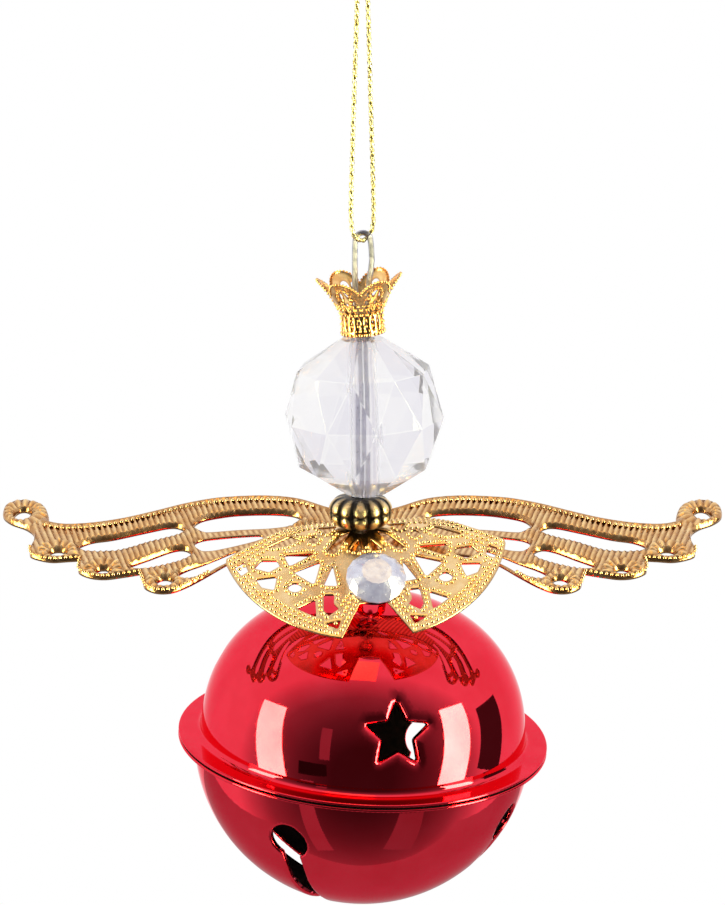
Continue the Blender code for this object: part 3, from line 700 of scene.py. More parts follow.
def add_crown(gold):
    lean = Matrix.Rotation(math.radians(CROWN_TILT), 4, "Y")
    place = Matrix.Translation((0.1, 0.0, CROWN_BASE + 0.2)) @ lean
    petals = sweep(CROWN_PETALS)
    outline = [pattern_point(t, crown_rim(t)) for t in sweep(240)]
    holes = crown_holes(petals)
    flat, cells = flat_mesh(outline, holes, grid_inside(outline, holes, 0.24, 0.08))
    near = edge_distance(flat, [outline, *holes])
    rolled = CROWN_ROLLED_EDGE * (1 - np.clip(near / 0.16, 0.0, 1.0))
    upper = moved(crown_surface(flat, rolled), place)
    lower = moved(crown_surface(flat, CROWN_WALL), place)
    wall = add_sheet("crown_wall", flat, cells, upper, lower, [gold], "crown", "crown")
    # painted shade: the wall's plating darkens towards its cut edges
    set_wear_and_painted_shade(wall, np.tile(0.35 + 0.65 * np.clip(near / 0.2, 0, 1), 2))
    add_beading("crown_beading", crown_beads(petals, outline), gold, "crown", "crown", place)


# ---- neck spacer
def add_spacer(antique):
    """A squat bead of rounded ribs that are pinched at its middle."""
    columns, rows = 16 * SPACER_LOBES, 20
    points, wear_and_painted_shade = [], []
    for i in range(rows + 1):
        rise = -1.0 + 2.0 * i / rows
        share = SPACER_END_SHARE + (1 - SPACER_END_SHARE) * (1 - abs(rise) ** 2.6) ** 0.6
        crease = SPACER_PINCH * math.exp(-(rise / SPACER_PINCH_WIDTH) ** 2)
        for angle in sweep(columns):
            lobe = abs(math.cos(SPACER_LOBES * angle / 2))
            depth = SPACER_RIB_DEPTH * (1 - lobe**0.8) * (1 - 0.35 * abs(rise))
            radius = SPACER_RADIUS * (share - crease) * (1 - depth)
            points.append((radius * math.cos(angle), radius * math.sin(angle), rise * SPACER_HALF_HEIGHT))
            wear_and_painted_shade.append(lobe * (1 - 14 * crease) * (1.15 - 0.5 * abs(rise) ** 4))
    for height in (SPACER_HALF_HEIGHT, -SPACER_HALF_HEIGHT):
        points += circle(SPACER_HOLE, columns, height)
        wear_and_painted_shade += [0.2] * columns
    faces = ring_faces(rows + 3, columns, wrap_rows=True)
    place = np.array(points) + (SPACER_OFFSET, 0.0, SPACER_CENTRE)
    mesh = mesh_from("neck_bead", place, faces, [antique], sharp=50)
    outward(mesh)
    set_wear_and_painted_shade(add_piece(mesh, "neck", "neck_spacer"), wear_and_painted_shade)


# ---- collar and stone
def softened(value, width):
    return width * np.logaddexp(0.0, value / width)


def collar_height(x, y):
    """The collar's surface: level at the hub, then sloping down towards its front."""
    forward = x * math.sin(COLLAR_YAW) - y * math.cos(COLLAR_YAW)
    roll = COLLAR_ROLL * x * np.minimum(1.0, np.hypot(x, y) / 8)
    return COLLAR_HUB - COLLAR_SLOPE * softened(forward - COLLAR_BEND_AT, 0.4) + roll


def collar_point(forward, aside):
    """Plan place of a point given ahead of the hub and to its side."""
    return (
        forward * math.sin(COLLAR_YAW) + aside * math.cos(COLLAR_YAW),
        aside * math.sin(COLLAR_YAW) - forward * math.cos(COLLAR_YAW),
    )


def collar_outline():
    """The edge of both leaves, as (forward, aside) from the front notch round one side and back."""
    inner = [(12.4, 0.0), (12.6, 1.7), (17.6, 4.3)]
    rim = arc((0.0, 0.0), COLLAR_RADIUS, 15, 75, 40)
    top = [(4.1, 17.4), (2.7, 15.3), (1.2, 12.8), (-0.9, 10.3), (-2.4, 8.1), (-2.75, 6.0), (-2.8, 4.0)]
    half = inner + rim + [tuple(p) for p in smooth_run(top, 5)] + [(-3.0, 2.4), (-3.2, 1.2)]
    return half + [(f, -a) for f, a in reversed(half[1:])]


COLLAR_CUTS = [
    [(-1.0, 5.5), (-1.1, 3.2), (1.1, 4.7)],
    [(2.9, 12.3), (1.1, 9.0), (1.6, 8.1), (2.5, 10.1)],
    [(0.9, 1.9), (1.6, 2.7), (4.2, 4.8), (4.3, 4.1), (2.7, 2.9)],
    [(4.2, 6.5), (4.3, 10.2), (5.8, 9.7)],
    [(5.8, 13.9), (4.9, 13.1), (5.1, 11.2), (5.7, 11.0), (6.5, 12.3)],
    [(7.6, 11.5), (7.8, 13.9), (8.9, 13.2), (9.4, 12.0)],
    [(5.5, 16.3), (4.9, 15.3), (6.3, 15.0), (6.8, 15.6)],
    [(5.7, 5.9), (7.0, 9.2), (9.0, 7.0)],
    [(6.5, 4.4), (9.4, 5.6), (9.6, 4.3)],
    [(11.0, 4.8), (10.9, 5.7), (13.3, 5.9), (14.0, 5.6), (13.1, 4.4), (12.3, 5.0)],
    [(11.6, 7.1), (12.7, 9.2), (14.1, 7.2)],
    [(15.1, 4.2), (15.4, 6.2), (16.1, 4.7)],
    [(2.6, 0.8), (4.1, 1.9), (4.3, 0.7)],
]
COLLAR_OVALS = [((1.95, 6.4), 0.6, 0.55), ((9.4, 9.3), 0.75, 0.85)]
CUT_GROWTH = 0.22
CUT_ROUNDING = 0.14


def rounded(loop, share, steps=4):
    """A loop with each corner cut back and turned into a short curve."""
    count = len(loop)
    run = []
    for i in range(count):
        corner = Vector(loop[i])
        start = corner.lerp(Vector(loop[i - 1]), share)
        end = corner.lerp(Vector(loop[(i + 1) % count]), share)
        for step in range(steps + 1):
            t = step / steps
            run.append(tuple(start.lerp(corner, t).lerp(corner.lerp(end, t), t)))
    return run


def hub_loop():
    """The round hole on the wire."""
    return arc((0.0, 0.0), HUB_HOLE, 0, 355, 47)


def collar_beads(outline, holes):
    """Evenly spaced beads in rows along the edge and round each opening, none touching another."""
    rows = [(outline, gap) for gap in (0.45, 1.15, 1.85)] + [(hole, -0.42) for hole in holes]
    parts, taken = [], np.full((1, 2), 99.0)
    for loop, gap in rows:
        line = inset(resample(loop, 0.25, closed=True), gap)
        line = resample(line, COLLAR_BEAD_PITCH, closed=True)
        room = np.minimum(edge_distance(line, [outline, *holes]) - COLLAR_BEAD,
                          np.hypot(line[:, 0], line[:, 1]) - 3.6)
        for x, y in line[inside_many(line, outline) & (room > 0)]:
            if np.hypot(*(taken - (x, y)).T).min() <= COLLAR_BEAD_GAP:
                continue
            taken = np.vstack([taken, (x, y)])
            slope = COLLAR_SLOPE if y < -COLLAR_BEND_AT else 0.0
            z = float(collar_height(x, y)) + SHEET / 2
            parts.append(bead((x, y, z), (0.0, -slope, 1.0), COLLAR_BEAD, COLLAR_BEAD, sides=10))
    return parts


def add_collar(gold):
    cuts = [rounded(inset(cut, -CUT_GROWTH).tolist(), CUT_ROUNDING) for cut in COLLAR_CUTS]
    cuts += [oval(*shape, steps=16) for shape in COLLAR_OVALS]
    outline = [collar_point(f, a) for f, a in collar_outline()]
    holes = [[collar_point(f, side * a) for f, a in cut] for side in (1, -1) for cut in cuts]
    gaps = [hub_loop(), *holes]
    flat, cells = flat_mesh(outline, gaps, grid_inside(outline, gaps, 0.3, 0.1))
    near = edge_distance(flat, [outline, *holes])
    height = collar_height(flat[:, 0], flat[:, 1])
    ridge = COLLAR_RIDGE * np.sin(math.pi * np.clip(near / 0.4, 0.0, 1.0)) ** 0.8
    upper = np.column_stack([flat, height + SHEET / 2 + ridge - 0.06 * (near < 0.02)])
    lower = np.column_stack([flat, height - SHEET / 2])
    sheet = add_sheet("collar_sheet", flat, cells, upper, lower, [gold], "collar", "collar")
    # painted shade: the sheet's plating darkens towards its cut edges and openings
    set_wear_and_painted_shade(sheet, np.tile(0.6 + 0.3 * np.clip(near / 0.3, 0, 1), 2))
    add_beading("collar_beading", collar_beads(outline, holes), gold, "collar", "collar")


def add_stone(stone):
    """The stone: a table, kites and girdle facets, all cut flat, on a foil seat that meets the collar."""
    x, y = collar_point(GEM_FORWARD, GEM_ASIDE)
    centre = Vector((x, y, float(collar_height(x, y)) + SHEET / 2 + 0.25 + STONE_LIFT))
    turn = Euler((math.atan(COLLAR_SLOPE) + STONE_LEAN, 0.0, COLLAR_YAW), "XYZ").to_matrix()
    rings = [(0.97, 0.0, 0.0), (1.0, 0.3, 0.0), (1.0, 0.5, 0.0), (0.80, 1.2, 0.5), (0.5, GEM_HEIGHT, 0.0)]
    points = []
    for share, height, shift in rings:
        for point in circle(share * GEM_RADIUS, STONE_SIDES, height, phase=shift):
            place = turn @ Vector(point) + centre
            if height == 0.0:
                place.z = float(collar_height(place.x, place.y)) + SHEET / 2
            points.append(tuple(place))
    faces = [tuple(reversed(range(STONE_SIDES))), tuple(range(len(points) - STONE_SIDES, len(points)))]
    for a, b, c, d in ring_faces(len(rings), STONE_SIDES, wrap_rows=False):
        level = a // STONE_SIDES
        if level == 2:
            faces += [(a, b, d), (b, c, d)]
        elif level == 3:
            faces += [(a, b, c), (a, c, d)]
        else:
            faces.append((a, b, c, d))
    mesh = mesh_from("stone", points, faces, [stone], sharp=1)
    outward(mesh)
    add_piece(mesh, "collar", "gem")


# ---- wings
WING_EDGE = [
    [(0.0, 6.5), (2.2, 6.9), (4.4, 7.9), (7.6, 10.0), (10.4, 10.9), (13.5, 11.15), (16.7, 10.9),
     (19.6, 10.35), (23.2, 8.9), (27.0, 6.8), (30.8, 4.9), (34.6, 3.7), (38.0, 3.4), (40.3, 4.2)],
    [(40.3, 4.2), (40.35, 6.6), (41.3, 9.4), (43.2, 10.8), (45.1, 10.8), (46.4, 9.4), (46.3, 7.1),
     (45.0, 5.3), (43.0, 3.9), (41.8, 2.3), (41.6, 0.4), (41.8, -1.6)],
    [(41.8, -1.6), (41.5, -3.2), (40.2, -4.1), (38.6, -4.6), (36.8, -4.4), (35.2, -4.2)],
    [(35.2, -4.2), (35.2, -6.2), (34.9, -7.5), (33.4, -8.6), (31.6, -8.9), (29.6, -8.4), (27.5, -7.7)],
    [(27.5, -7.7), (27.0, -9.4), (26.5, -11.2), (25.0, -12.3), (23.2, -12.2), (21.6, -11.0),
     (20.2, -9.5), (18.8, -7.8), (17.3, -5.9), (15.5, -4.0), (12.0, -2.9), (8.0, -2.9),
     (4.0, -3.2), (0.0, -3.4)],
]
WING_WINDOWS = [
    [(35.3, -1.2), (34.0, 0.0), (31.4, 0.8), (27.6, 2.6), (24.6, 3.9), (23.3, 3.5), (23.3, 2.3),
     (24.6, 1.3), (27.4, -0.2), (30.4, -2.1), (33.0, -2.5), (34.8, -2.2)],
    [(21.2, 4.4), (20.4, 5.8), (18.2, 6.8), (15.8, 7.4), (12.0, 7.6), (9.3, 7.2), (8.2, 6.2),
     (9.2, 5.1), (11.9, 4.3), (15.7, 3.9), (19.4, 3.3), (20.8, 3.5)],
    [(28.6, -6.3), (26.1, -4.2), (24.0, -2.5), (22.6, -2.0), (21.8, -2.9), (22.3, -4.3),
     (24.1, -5.6), (27.0, -6.8)],
    [(20.8, -0.2), (20.0, 0.6), (18.2, 1.1), (15.5, 1.6), (12.9, 1.8), (13.6, 1.0), (15.2, 0.1),
     (17.0, -0.8), (19.0, -1.6), (20.3, -1.5)],
    [(22.3, -8.2), (21.3, -7.0), (19.7, -5.8), (17.6, -4.0), (15.8, -2.4), (15.1, -2.4),
     (16.0, -3.6), (17.9, -5.5), (19.3, -7.2), (20.7, -8.8), (21.8, -9.2)],
]
# Centre and half sizes of each eyelet, and how far the ribs round it reach.
WING_HOLES = [((43.8, 7.1), 0.7, 1.05, 3.6), ((38.1, -3.05), 0.72, 0.68, 2.3),
              ((32.0, -7.6), 0.62, 0.6, 2.3), ((24.2, -10.3), 0.68, 0.8, 2.3)]
EYELET_SCALE = 1.5
WINDOW_GROWTH = 0.4
COLLAR_COVER_RADIUS = 20.0
COLLAR_COVER_REAR = 4.2
HUB_PLAIN_RADIUS = 6.0
RIB_PITCH = 0.76
RIB_LEAN = -0.32
RIB_RISE = 0.5
BAR_HALF_WIDTH = 1.4
BAR_BULGE = 1.0
RIM_WIDTH = 0.85
RIM_RISE = 0.4


def wing_height(x, y):
    """The wings' surface: a plane rising to the rear, pressed up to a level boss at the hub."""
    plane = WING_PLANE + WING_SLOPE * y
    share = np.clip((WING_SKIRT_RADIUS - np.hypot(x, y)) / (WING_SKIRT_RADIUS - WING_HUB_RADIUS), 0, 1)
    blend = share * share * (3 - 2 * share)
    return plane * (1 - blend) + WING_HUB * blend


def rib_phase(flat):
    """Where each point of a wing is across its ribs: across the bars, or round the nearest eyelet."""
    x, y = np.abs(flat[:, 0]), flat[:, 1]
    phase = (x + RIB_LEAN * y) / RIB_PITCH
    for (cx, cy), _, _, reach in WING_HOLES:
        ribs = round(2 * math.pi * 0.62 * reach / RIB_PITCH)
        around = np.arctan2(y - cy, x - cx) * ribs / (2 * math.pi)
        phase = np.where(np.hypot(x - cx, y - cy) < reach, around, phase)
    return phase


def wing_outline():
    half = []
    for run in WING_EDGE:
        half += [tuple(p) for p in smooth_run(run, 6)[:-1]]
    half.append(WING_EDGE[-1][-1])
    return half + [(-x, y) for x, y in reversed(half[1:-1])]


def wing_holes():
    cuts = []
    for loop in WING_WINDOWS:
        cuts.append(inset([tuple(p) for p in smooth_run(loop, 4, closed=True)], -WINDOW_GROWTH).tolist())
    for centre, along, aside, _ in WING_HOLES:
        cuts.append(oval(centre, EYELET_SCALE * along, EYELET_SCALE * aside))
    return [[(side * x, y) for x, y in loop] for side in (1, -1) for loop in cuts]


def wing_relief(flat, near):
    """How far each point is raised, flat under the collar, and how much painted shade its plating gets:
    darker between the ribs, along the cut edges and on the rear rim.
    """
    mirrored = np.column_stack([np.abs(flat[:, 0]), flat[:, 1]])
    lead = [tuple(p) for p in smooth_run(WING_EDGE[0], 6)]
    lead_gap = edge_distance(mirrored, [lead + lead[-2:0:-1]])
    reach = np.hypot(flat[:, 0], flat[:, 1])
    beside = np.maximum(np.clip((reach - COLLAR_COVER_RADIUS) / 1.5, 0, 1),
                        np.clip((flat[:, 1] - COLLAR_COVER_REAR) / 0.8, 0, 1))
    clear = beside * np.clip((reach - HUB_PLAIN_RADIUS) / 2.0, 0, 1)
    rib = np.abs(np.sin(math.pi * rib_phase(flat)))
    body = np.clip((near - 0.2) / 0.3, 0, 1) * np.clip((lead_gap - RIM_WIDTH + 0.1) / 0.2, 0, 1)
    barrel = np.sqrt(1 - (1 - np.clip(near / BAR_HALF_WIDTH, 0, 1)) ** 2)
    rim = RIM_RISE * np.sqrt(np.clip(1 - (2 * lead_gap / RIM_WIDTH - 1) ** 2, 0, 1))
    # painted shade: low between the ribs, at the cut edges and along the rear rim strip
    wear_and_painted_shade = np.where(near < 0.22, 0.3, rib**1.6)
    wear_and_painted_shade = np.where(lead_gap < RIM_WIDTH, 0.3, wear_and_painted_shade)
    return clear * (BAR_BULGE * barrel + RIB_RISE * body * (rib - 1.0) + rim), 0.05 + 1.05 * wear_and_painted_shade


def wing_beads():
    """Rows of beads in front of the rear rim and along the front edges."""
    lead = [p for p in smooth_run(WING_EDGE[0], 6) if p[0] > 6.0]
    tail = [p for p in smooth_run(WING_EDGE[4], 6) if p[0] > 19.0]
    under = [p for run in WING_EDGE[2:4] for p in smooth_run(run, 6)]
    rows = ((lead, 1.15, RIB_PITCH, 0.27), (tail, 0.0, 0.62, 0.24), (under, 0.0, 0.66, 0.22))
    parts = []
    for line, gap, pitch, size in rows:
        share = min(1.0, max(gap, 0.12) / BAR_HALF_WIDTH)
        lift = BAR_BULGE * math.sqrt(1 - (1 - share) ** 2) + SHEET / 2 - 0.08
        for x, y in resample(line, pitch) - (0.0, gap):
            for side in (1, -1):
                place = (side * x, y, float(wing_height(x, y)) + lift)
                parts.append(bead(place, (0.0, 0.1, 1.0), size, size + 0.08, sides=8))
    return parts


def add_wings(gold):
    outline, holes = wing_outline(), wing_holes()
    gaps = [hub_loop(), *holes]
    flat, cells = flat_mesh(outline, gaps, grid_inside(outline, gaps, 0.24, 0.07))
    raised, wear_and_painted_shade = wing_relief(flat, edge_distance(flat, [outline, *holes]))
    height = wing_height(flat[:, 0], flat[:, 1]) + raised
    upper = np.column_stack([flat, height + SHEET / 2])
    lower = np.column_stack([flat, height - SHEET / 2])
    sheet = add_sheet("wing_sheet", flat, cells, upper, lower, [gold], "wings", "wing_plate")
    set_wear_and_painted_shade(sheet, np.tile(wear_and_painted_shade, 2))
    add_beading("wing_beading", wing_beads(), gold, "wings", "wing_plate")


# ---- bell
def dome(radius, height, exponent, start, end, steps):
    """Points (radius, height) on a rounded dome between two angles from its crown, in degrees."""
    run = []
    for i in range(steps + 1):
        angle = math.radians(start + (end - start) * i / steps)
        across, up = math.sin(angle), math.cos(angle)
        reach = ((across / radius) ** exponent + (abs(up) / height) ** exponent) ** (-1 / exponent)
        run.append((reach * across, reach * up))
    return run


def shell_profile(radius, height, exponent, hole):
    """A shell's outer side from its pole hole to its lip: dome, fillet, flat lip and rounded edge."""
    top = LIP_GAP + LIP
    start = math.degrees(math.atan2(hole, height))
    run = dome(radius, height, exponent, start, DOME_END, 90)
    foot = run[-1][0] + FILLET
    run = [p for p in run if p[1] > top + FILLET]
    run += arc((run[-1][0] + FILLET, top + FILLET), FILLET, 185, 268, 9)
    run += [(foot + 0.3, top), (FLANGE_RADIUS - 0.6, top)]
    run += arc((FLANGE_RADIUS - LIP / 2, top - LIP / 2), LIP / 2, 90, 90 - LIP_EDGE_TURN, 12)
    return resample(run, 0.05)


class Shell:
    """One half of the bell as a sheet whose flat pattern is laid out round the pole."""

    def __init__(self, profile, sign):
        self.profile = profile
        self.sign = sign
        steps = np.linalg.norm(np.diff(profile, axis=0), axis=1)
        self.reach = profile[0, 0] + np.concatenate([[0.0], np.cumsum(steps)])
        way = np.gradient(profile, axis=0)
        way /= np.linalg.norm(way, axis=1, keepdims=True)
        self.normals = np.stack([-way[:, 1], way[:, 0]], axis=1)

    def at(self, flat, table):
        reach = np.hypot(flat[:, 0], flat[:, 1])
        turn = np.arctan2(flat[:, 1], flat[:, 0])
        radial = np.interp(reach, self.reach, table[:, 0])
        rise = np.interp(reach, self.reach, table[:, 1])
        return np.stack([radial * np.cos(turn), radial * np.sin(turn), self.sign * rise], axis=1)

    def surface(self, flat):
        return self.at(flat, self.profile)

    def outward(self, flat):
        normals = self.at(flat, self.normals)
        return normals / np.linalg.norm(normals, axis=1, keepdims=True)

    def flatten(self, points):
        """The pattern places of points near the shell's dome, given in the bell's own axes."""
        points = np.asarray(points, float)
        turn = np.arctan2(points[:, 1], points[:, 0])
        tilt = np.arctan2(np.hypot(points[:, 0], points[:, 1]), self.sign * points[:, 2])
        tilts = np.arctan2(self.profile[:, 0], self.profile[:, 1])
        reach = np.interp(tilt, tilts, self.reach)
        return np.stack([reach * np.cos(turn), reach * np.sin(turn)], axis=1)

    def grid(self, step, margin, loops):
        """Points on rings round the pole, closer together where the profile bends tightly."""
        points = []
        edge = np.interp(UPPER_RADIUS - 1.0, self.profile[:, 0], self.reach)
        reach = self.reach[0] + step
        row = 0
        while reach < self.reach[-1] - 0.04:
            radius = float(np.interp(reach, self.reach, self.profile[:, 0]))
            count = max(24, round(2 * math.pi * radius / step / 6) * 6) if reach < edge else 240
            for j in range(count):
                turn = 2 * math.pi * (j + 0.5 * (row % 2)) / count
                points.append((reach * math.cos(turn), reach * math.sin(turn)))
            reach += step if reach < edge else 0.1
            row += 1
        points = np.array(points)
        return points[edge_distance(points, loops) > margin]


def facing(azimuth, latitude):
    """Axes of a plane that faces this way, in degrees: across, uphill and outward."""
    azimuth, latitude = math.radians(azimuth), math.radians(latitude)
    out = Vector((math.sin(azimuth) * math.cos(latitude), -math.cos(azimuth) * math.cos(latitude),
                  math.sin(latitude)))
    across = Vector((math.cos(azimuth), math.sin(azimuth), 0.0))
    return across, out.cross(across), out


def star_loop(grow):
    """A five-pointed star, one tip up, with slightly rounded tips, grown outwards by a distance."""
    tips, hollows = circle(STAR_OUTER, 5, phase=1.25), circle(STAR_INNER, 5, phase=1.75)
    corners = [corner for pair in zip(tips, hollows) for corner in pair]
    loop = resample(rounded(corners, STAR_ROUNDING), 0.22, closed=True)
    return inset(loop, -grow) if grow else loop


def star_holes(shell, grow):
    loops = []
    for k in range(STARS):
        across, uphill, out = facing(STAR_AZIMUTH + 360 / STARS * k, STAR_LATITUDE)
        points = [tuple(out * UPPER_RADIUS + across * u + uphill * v) for u, v in star_loop(grow)]
        loops.append(shell.flatten(points))
    return loops


def keyhole_loop(shell):
    """The four slots that cross at the pole and their round ends, as one loop in the pattern."""
    half = SLOT_WIDTH / 2
    latitude = math.radians(KEYHOLE_LATITUDE)
    middle = LOWER_RADIUS * math.cos(latitude)
    squeeze = abs(math.sin(latitude))
    meet = math.degrees(math.asin(half / KEYHOLE_RADIUS))
    loop = []
    for k in range(KEYHOLES):
        turn = math.radians(KEYHOLE_AZIMUTH + 90 * k - 90)
        steps = int((middle - KEYHOLE_RADIUS - half) / SLOT_STEP)
        ends = [(half + i * SLOT_STEP, -half) for i in range(steps)]
        turned = arc((0.0, 0.0), KEYHOLE_RADIUS, meet - 180, 180 - meet, 32)
        round_end = [(middle + squeeze * u, v) for u, v in turned]
        arm = ends + round_end + [(u, -v) for u, v in reversed(ends[1:])]
        for u, v in arm:
            x = u * math.cos(turn) - v * math.sin(turn)
            y = u * math.sin(turn) + v * math.cos(turn)
            radius = math.hypot(x, y)
            reach = float(np.interp(radius, shell.profile[:, 0], shell.reach))
            loop.append((x * reach / radius, y * reach / radius))
    return np.array(loop)


ROLL = 1.5
ROLL_DROP = 0.5


def shell_sheet(name, shell, outline, holes, rings, roll, node, lacquer, inside):
    """Builds one shell: smooth lacquered metal outside, dull inside darkened with painted shade, its
    openings turned in.
    """
    loops = [outline, *holes]
    extra = np.vstack([shell.grid(0.62, 0.16, loops), *rings])
    flat, cells = flat_mesh(outline, holes, extra)
    if shell.sign < 0:
        cells = cells[:, ::-1]
    near = edge_distance(flat, holes[1:] or holes)
    outer = shell.surface(flat)
    out = shell.outward(flat)
    share = np.clip(1 - near / roll, 0.0, 1.0)
    outer = outer - out * (ROLL_DROP * roll * (1 - np.sqrt(np.maximum(0.0, 1 - share**2))))[:, None]
    reach = np.hypot(flat[:, 0], flat[:, 1])
    lip_end = shell.reach[-1] - math.radians(LIP_EDGE_TURN) * LIP / 2
    wall = np.interp(reach, [lip_end - 3.4, lip_end - 2.2], [BELL_WALL, LIP])
    wall = np.where(reach > lip_end, 0.96 * LIP / 2, wall)
    inner = outer - out * wall[:, None]
    place = bell_place()
    normals = np.where((near < roll)[:, None], side_normals(outer, cells), out)
    normals = normals @ np.array(place)[:3, :3].T
    made = add_sheet(name, flat, cells, moved(outer, place), moved(inner, place), [lacquer, inside],
                     "bell", node, normals)
    count = len(cells)
    slots = np.zeros(len(made.data.polygons), np.int32)
    slots[count:2 * count] = 1
    made.data.polygons.foreach_set("material_index", slots)


def bell_place():
    """The matrix from the bell's own axes to the row frame, in millimetres."""
    pivot = Matrix.Translation((EYE_OFFSET, 0.0, BELL_PIVOT)) @ Matrix.Rotation(BELL_TILT, 4, "Y")
    return pivot @ Matrix.Translation((0.0, 0.0, -BELL_CENTRE_DROP))


def add_bell(lacquer, inside):
    upper = Shell(shell_profile(UPPER_RADIUS, UPPER_HEIGHT, UPPER_EXPONENT, NECK_HOLE), 1.0)
    stars = star_holes(upper, 0.0)
    rings = [loop for grow in (0.1, 0.25, 0.45, 0.7, 1.0, 1.35) for loop in star_holes(upper, grow)]
    shell_sheet("upper_shell", upper, circle(upper.reach[-1], 240),
                [circle(upper.reach[0], 60), *stars], rings, ROLL, "bell_upper_shell",
                lacquer, inside)
    lower = Shell(shell_profile(LOWER_RADIUS, LOWER_HEIGHT, 2.0, POLE_HOLE), -1.0)
    slots = keyhole_loop(lower)
    rings = [inset(slots, -grow) for grow in (0.1, 0.22, 0.36)]
    shell_sheet("lower_shell", lower, circle(lower.reach[-1], 240), [slots], rings, 0.3,
                "bell_lower_shell", lacquer, inside)


# ---- head bead
def facet_tone(face):
    """How much light a facet passes: the same over one flat, and full on the narrow bevels."""
    if face.area < 1.5 * MM * MM:
        return 1.0
    return 0.5 + 0.5 * math.sin(11.0 * face.normal.x + 7.0 * face.normal.y + 5.0 * face.normal.z)


def faceted_solid():
    """Flats at both ends, wide shoulder facets and triangles round the middle, with softened edges."""
    rings = [(HEAD_FLAT_RADIUS, HEAD_HALF_HEIGHT, 0.0), (HEAD_SHOULDER_RADIUS, HEAD_SHOULDER_HEIGHT, 0.0),
             (HEAD_RADIUS, 0.0, 0.5), (HEAD_SHOULDER_RADIUS, -HEAD_SHOULDER_HEIGHT, 0.0),
             (HEAD_FLAT_RADIUS, -HEAD_HALF_HEIGHT, 0.0)]
    edit = bmesh.new()
    for radius, height, shift in rings:
        for point in circle(radius, HEAD_SIDES, height, phase=shift):
            edit.verts.new(point)
    bmesh.ops.convex_hull(edit, input=edit.verts)
    bmesh.ops.dissolve_limit(edit, angle_limit=0.02, verts=edit.verts, edges=edit.edges)
    bmesh.ops.bevel(edit, geom=edit.edges, offset=HEAD_BEVEL, segments=2, affect="EDGES", profile=0.6)
    solid = bpy.data.meshes.new("head")
    edit.to_mesh(solid)
    edit.free()
    return solid


def drill():
    mesh = bpy.data.meshes.new("drill")
    points = circle(HEAD_BORE, 48, -12.0) + circle(HEAD_BORE, 48, 12.0)
    caps = [tuple(reversed(range(48))), tuple(range(48, 96))]
    mesh.from_pydata(points, [], ring_faces(2, 48, wrap_rows=False) + caps)
    outward(mesh)
    return mesh


def add_head(acrylic):
    """The faceted bead with its bore, in the bead's own millimetres until it is placed."""
    body, tool = (bpy.data.objects.new(mesh.name, mesh) for mesh in (faceted_solid(), drill()))
    for made in (body, tool):
        bpy.context.scene.collection.objects.link(made)
    boolean = body.modifiers.new("bore", "BOOLEAN")
    boolean.object = tool
    boolean.solver = "EXACT"
    graph = bpy.context.evaluated_depsgraph_get()
    mesh = bpy.data.meshes.new_from_object(body.evaluated_get(graph))
    for made in (body, tool):
        bpy.data.objects.remove(made)
    turn = Euler((0.0, math.radians(HEAD_TILT), math.radians(HEAD_PHASE)), "XYZ").to_matrix().to_4x4()
    place = Matrix.Translation(Vector((HEAD_OFFSET, 0.0, HEAD_CENTRE)) * MM) @ turn
    mesh.transform(place @ Matrix.Scale(MM, 4))
    mesh.materials.clear()
    mesh.materials.append(acrylic)
    mesh.shade_smooth()
    mesh.set_sharp_from_angle(angle=HEAD_CREASE)
    facets = mesh.attributes.new("facet", "FLOAT", "FACE")
    facets.data.foreach_set("value", [facet_tone(face) for face in mesh.polygons])
    mesh.name = "head_crystal"
    add_piece(mesh, "head", "head_bead")


# ---- studio
WARM = (1.0, 0.94, 0.5)
WHITE = (1.0, 1.0, 1.0)


def emission(name, colour=WHITE, strength=1.0):
    """A material that only shines, and the node that does."""
    nodes = Nodes(name)
    shine = nodes.add("ShaderNodeEmission", {"Color": (*colour, 1.0), "Strength": strength})
    nodes.plug(nodes.tree.nodes["Material Output"], "Surface", shine.outputs[0])
    return nodes, shine


TENT_RADIUS = 1.6
TENT_HEIGHT = -0.09
CARD_HEIGHT = -0.1
FLOOR_HEIGHT = -0.24
FLOOR_HALF_SIDE = 12.0
TENT_FRONT = (0.0, -0.985, -0.174)
# Brightness of the tent by how nearly a direction points to the front, from 0 at the side to 1.
TENT_STOPS = [(0.0, 1.0), (0.17, 0.68), (0.42, 0.31), (0.71, 0.14), (0.94, 0.05)]


def tent_material():
    nodes, shine = emission("tent")
    place = nodes.add("ShaderNodeTexCoord").outputs["Object"]
    unit = nodes.add("ShaderNodeVectorMath", {0: place}, operation="NORMALIZE").outputs[0]
    inputs = {0: unit, 1: TENT_FRONT}
    frontward = nodes.add("ShaderNodeVectorMath", inputs, operation="DOT_PRODUCT").outputs["Value"]
    ramp = nodes.add("ShaderNodeValToRGB", {"Fac": frontward})
    nodes.plug(shine, "Strength", ramp.outputs["Color"])
    stops = ramp.color_ramp.elements
    for stop, (position, level) in zip((stops[0], stops[1]), (TENT_STOPS[0], TENT_STOPS[-1])):
        stop.position = position
        stop.color = (level, level, level, 1.0)
    for position, level in TENT_STOPS[1:-1]:
        stops.new(position).color = (level, level, level, 1.0)
    return nodes.material


def stage_piece(mesh, material, place=(0.0, 0.0, 0.0)):
    """A piece of the studio, hidden from light that is scattered or passes through clear pieces."""
    mesh.materials.append(material)
    made = bpy.data.objects.new(mesh.name, mesh)
    made.location = place
    made.visible_transmission = False
    made.visible_diffuse = False
    bpy.context.scene.collection.objects.link(made)
    return made


def rectangle(name, half, tall):
    mesh = bpy.data.meshes.new(name)
    corners = [(-half, -tall, 0), (half, -tall, 0), (half, tall, 0), (-half, tall, 0)]
    mesh.from_pydata(corners, [], [(0, 1, 2, 3)])
    return mesh


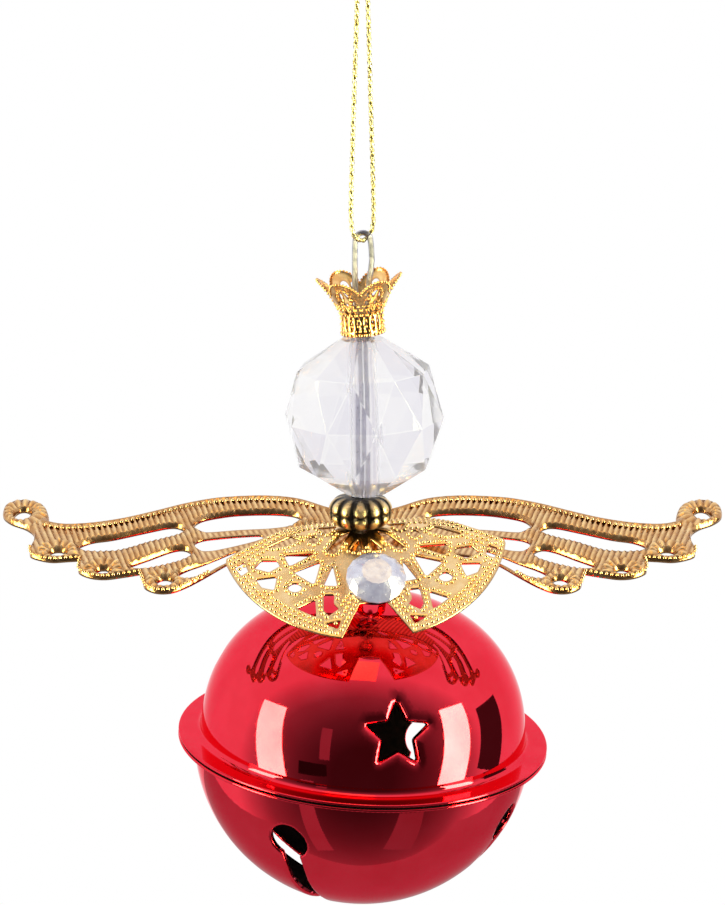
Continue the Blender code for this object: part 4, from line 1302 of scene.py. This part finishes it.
def add_tent():
    """White all round and above, and darker in front, where the camera and the room are."""
    edit = bmesh.new()
    bmesh.ops.create_uvsphere(edit, u_segments=48, v_segments=24, radius=TENT_RADIUS)
    mesh = bpy.data.meshes.new("studio_tent")
    edit.to_mesh(mesh)
    edit.free()
    stage_piece(mesh, tent_material(), (0.0, 0.0, TENT_HEIGHT)).visible_camera = False


def add_card(name, azimuth, elevation, distance, size, turn, strength, colour):
    """A flat panel that only reflections see: bright, or dark to cut a dark shape."""
    way = facing(azimuth, elevation)[2]
    mesh = rectangle(name, size[0] / 2, size[1] / 2)
    place = Vector((0.0, 0.0, CARD_HEIGHT)) + way * distance
    made = stage_piece(mesh, emission(name, colour, strength)[0].material, place)
    made.visible_camera = False
    roll = Matrix.Rotation(math.radians(turn), 3, "Z")
    made.rotation_euler = (way.to_track_quat("Z", "Y").to_matrix() @ roll).to_euler()


def add_floor():
    """A plain pale floor well below the hanging ornament, which reflections don't see."""
    mesh = rectangle("floor", FLOOR_HALF_SIDE, FLOOR_HALF_SIDE)
    made = stage_piece(mesh, emission("floor")[0].material, (0.0, 0.0, FLOOR_HEIGHT))
    made.visible_glossy = False


def set_world():
    scene = bpy.context.scene
    scene.world = bpy.data.worlds.new("white")
    scene.world.use_nodes = True
    scene.world.node_tree.nodes["Background"].inputs["Color"].default_value = (1.0, 1.0, 1.0, 1.0)
    scene.view_settings.view_transform = "Standard"


# Name, azimuth and elevation in degrees, distance and size in metres, turn, strength and colour.
CARDS = [
    ("softbox_left", -68, 2, 0.9, (0.34, 0.9), 12, 17.0, WARM),
    ("softbox_right", 68, 2, 0.9, (0.34, 0.9), -12, 23.0, WARM),
    ("flag_right", 100, -4, 0.8, (0.34, 0.5), -12, 0.06, WHITE),
    ("lamp_above", -3, 82, 0.8, (0.26, 0.26), 0, 2.2, (1.0, 0.75, 0.35)),
    ("stand", -26, 12, 0.8, (0.1, 0.36), 0, 0.3, WHITE),
    ("stand_foot", -34, -8, 0.7, (0.24, 0.1), 0, 0.02, WHITE),
    ("table", 180, -68, 0.4, (1.1, 0.6), 0, 0.5, WHITE),
    ("stool_left", -38, -38, 0.6, (0.1, 0.5), 0, 0.4, WHITE),
    ("stool_right", 34, -46, 0.6, (0.16, 0.3), 0, 0.3, WHITE),
]


def main():
    set_world()
    add_camera()
    thread = thread_material()
    add_cord(thread)
    add_knot(thread)
    gold = gold_material("gold_plate", (0.90, 0.58, 0.24), (1.0, 0.74, 0.39))
    steel = steel_material()
    lacquer = lacquer_material()
    add_crown(gold_material("rose_gold_plate", (0.80, 0.44, 0.16), (1.0, 0.68, 0.30)))
    add_head(acrylic_material())
    add_spacer(antique_material())
    add_collar(gold)
    add_stone(stone_material())
    add_wings(gold_material("bronzed_gold_plate", (0.82, 0.48, 0.20), (1.0, 0.71, 0.36)))
    add_bell(lacquer, inside_material())
    for node, material in (("hanger_wire", steel), ("jump_ring", steel), ("jingle_ball", steel),
                           ("bell_shank", lacquer)):
        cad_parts[node].data.materials[0] = material
    add_tent()
    for card in CARDS:
        add_card(*card)
    add_floor()


main()
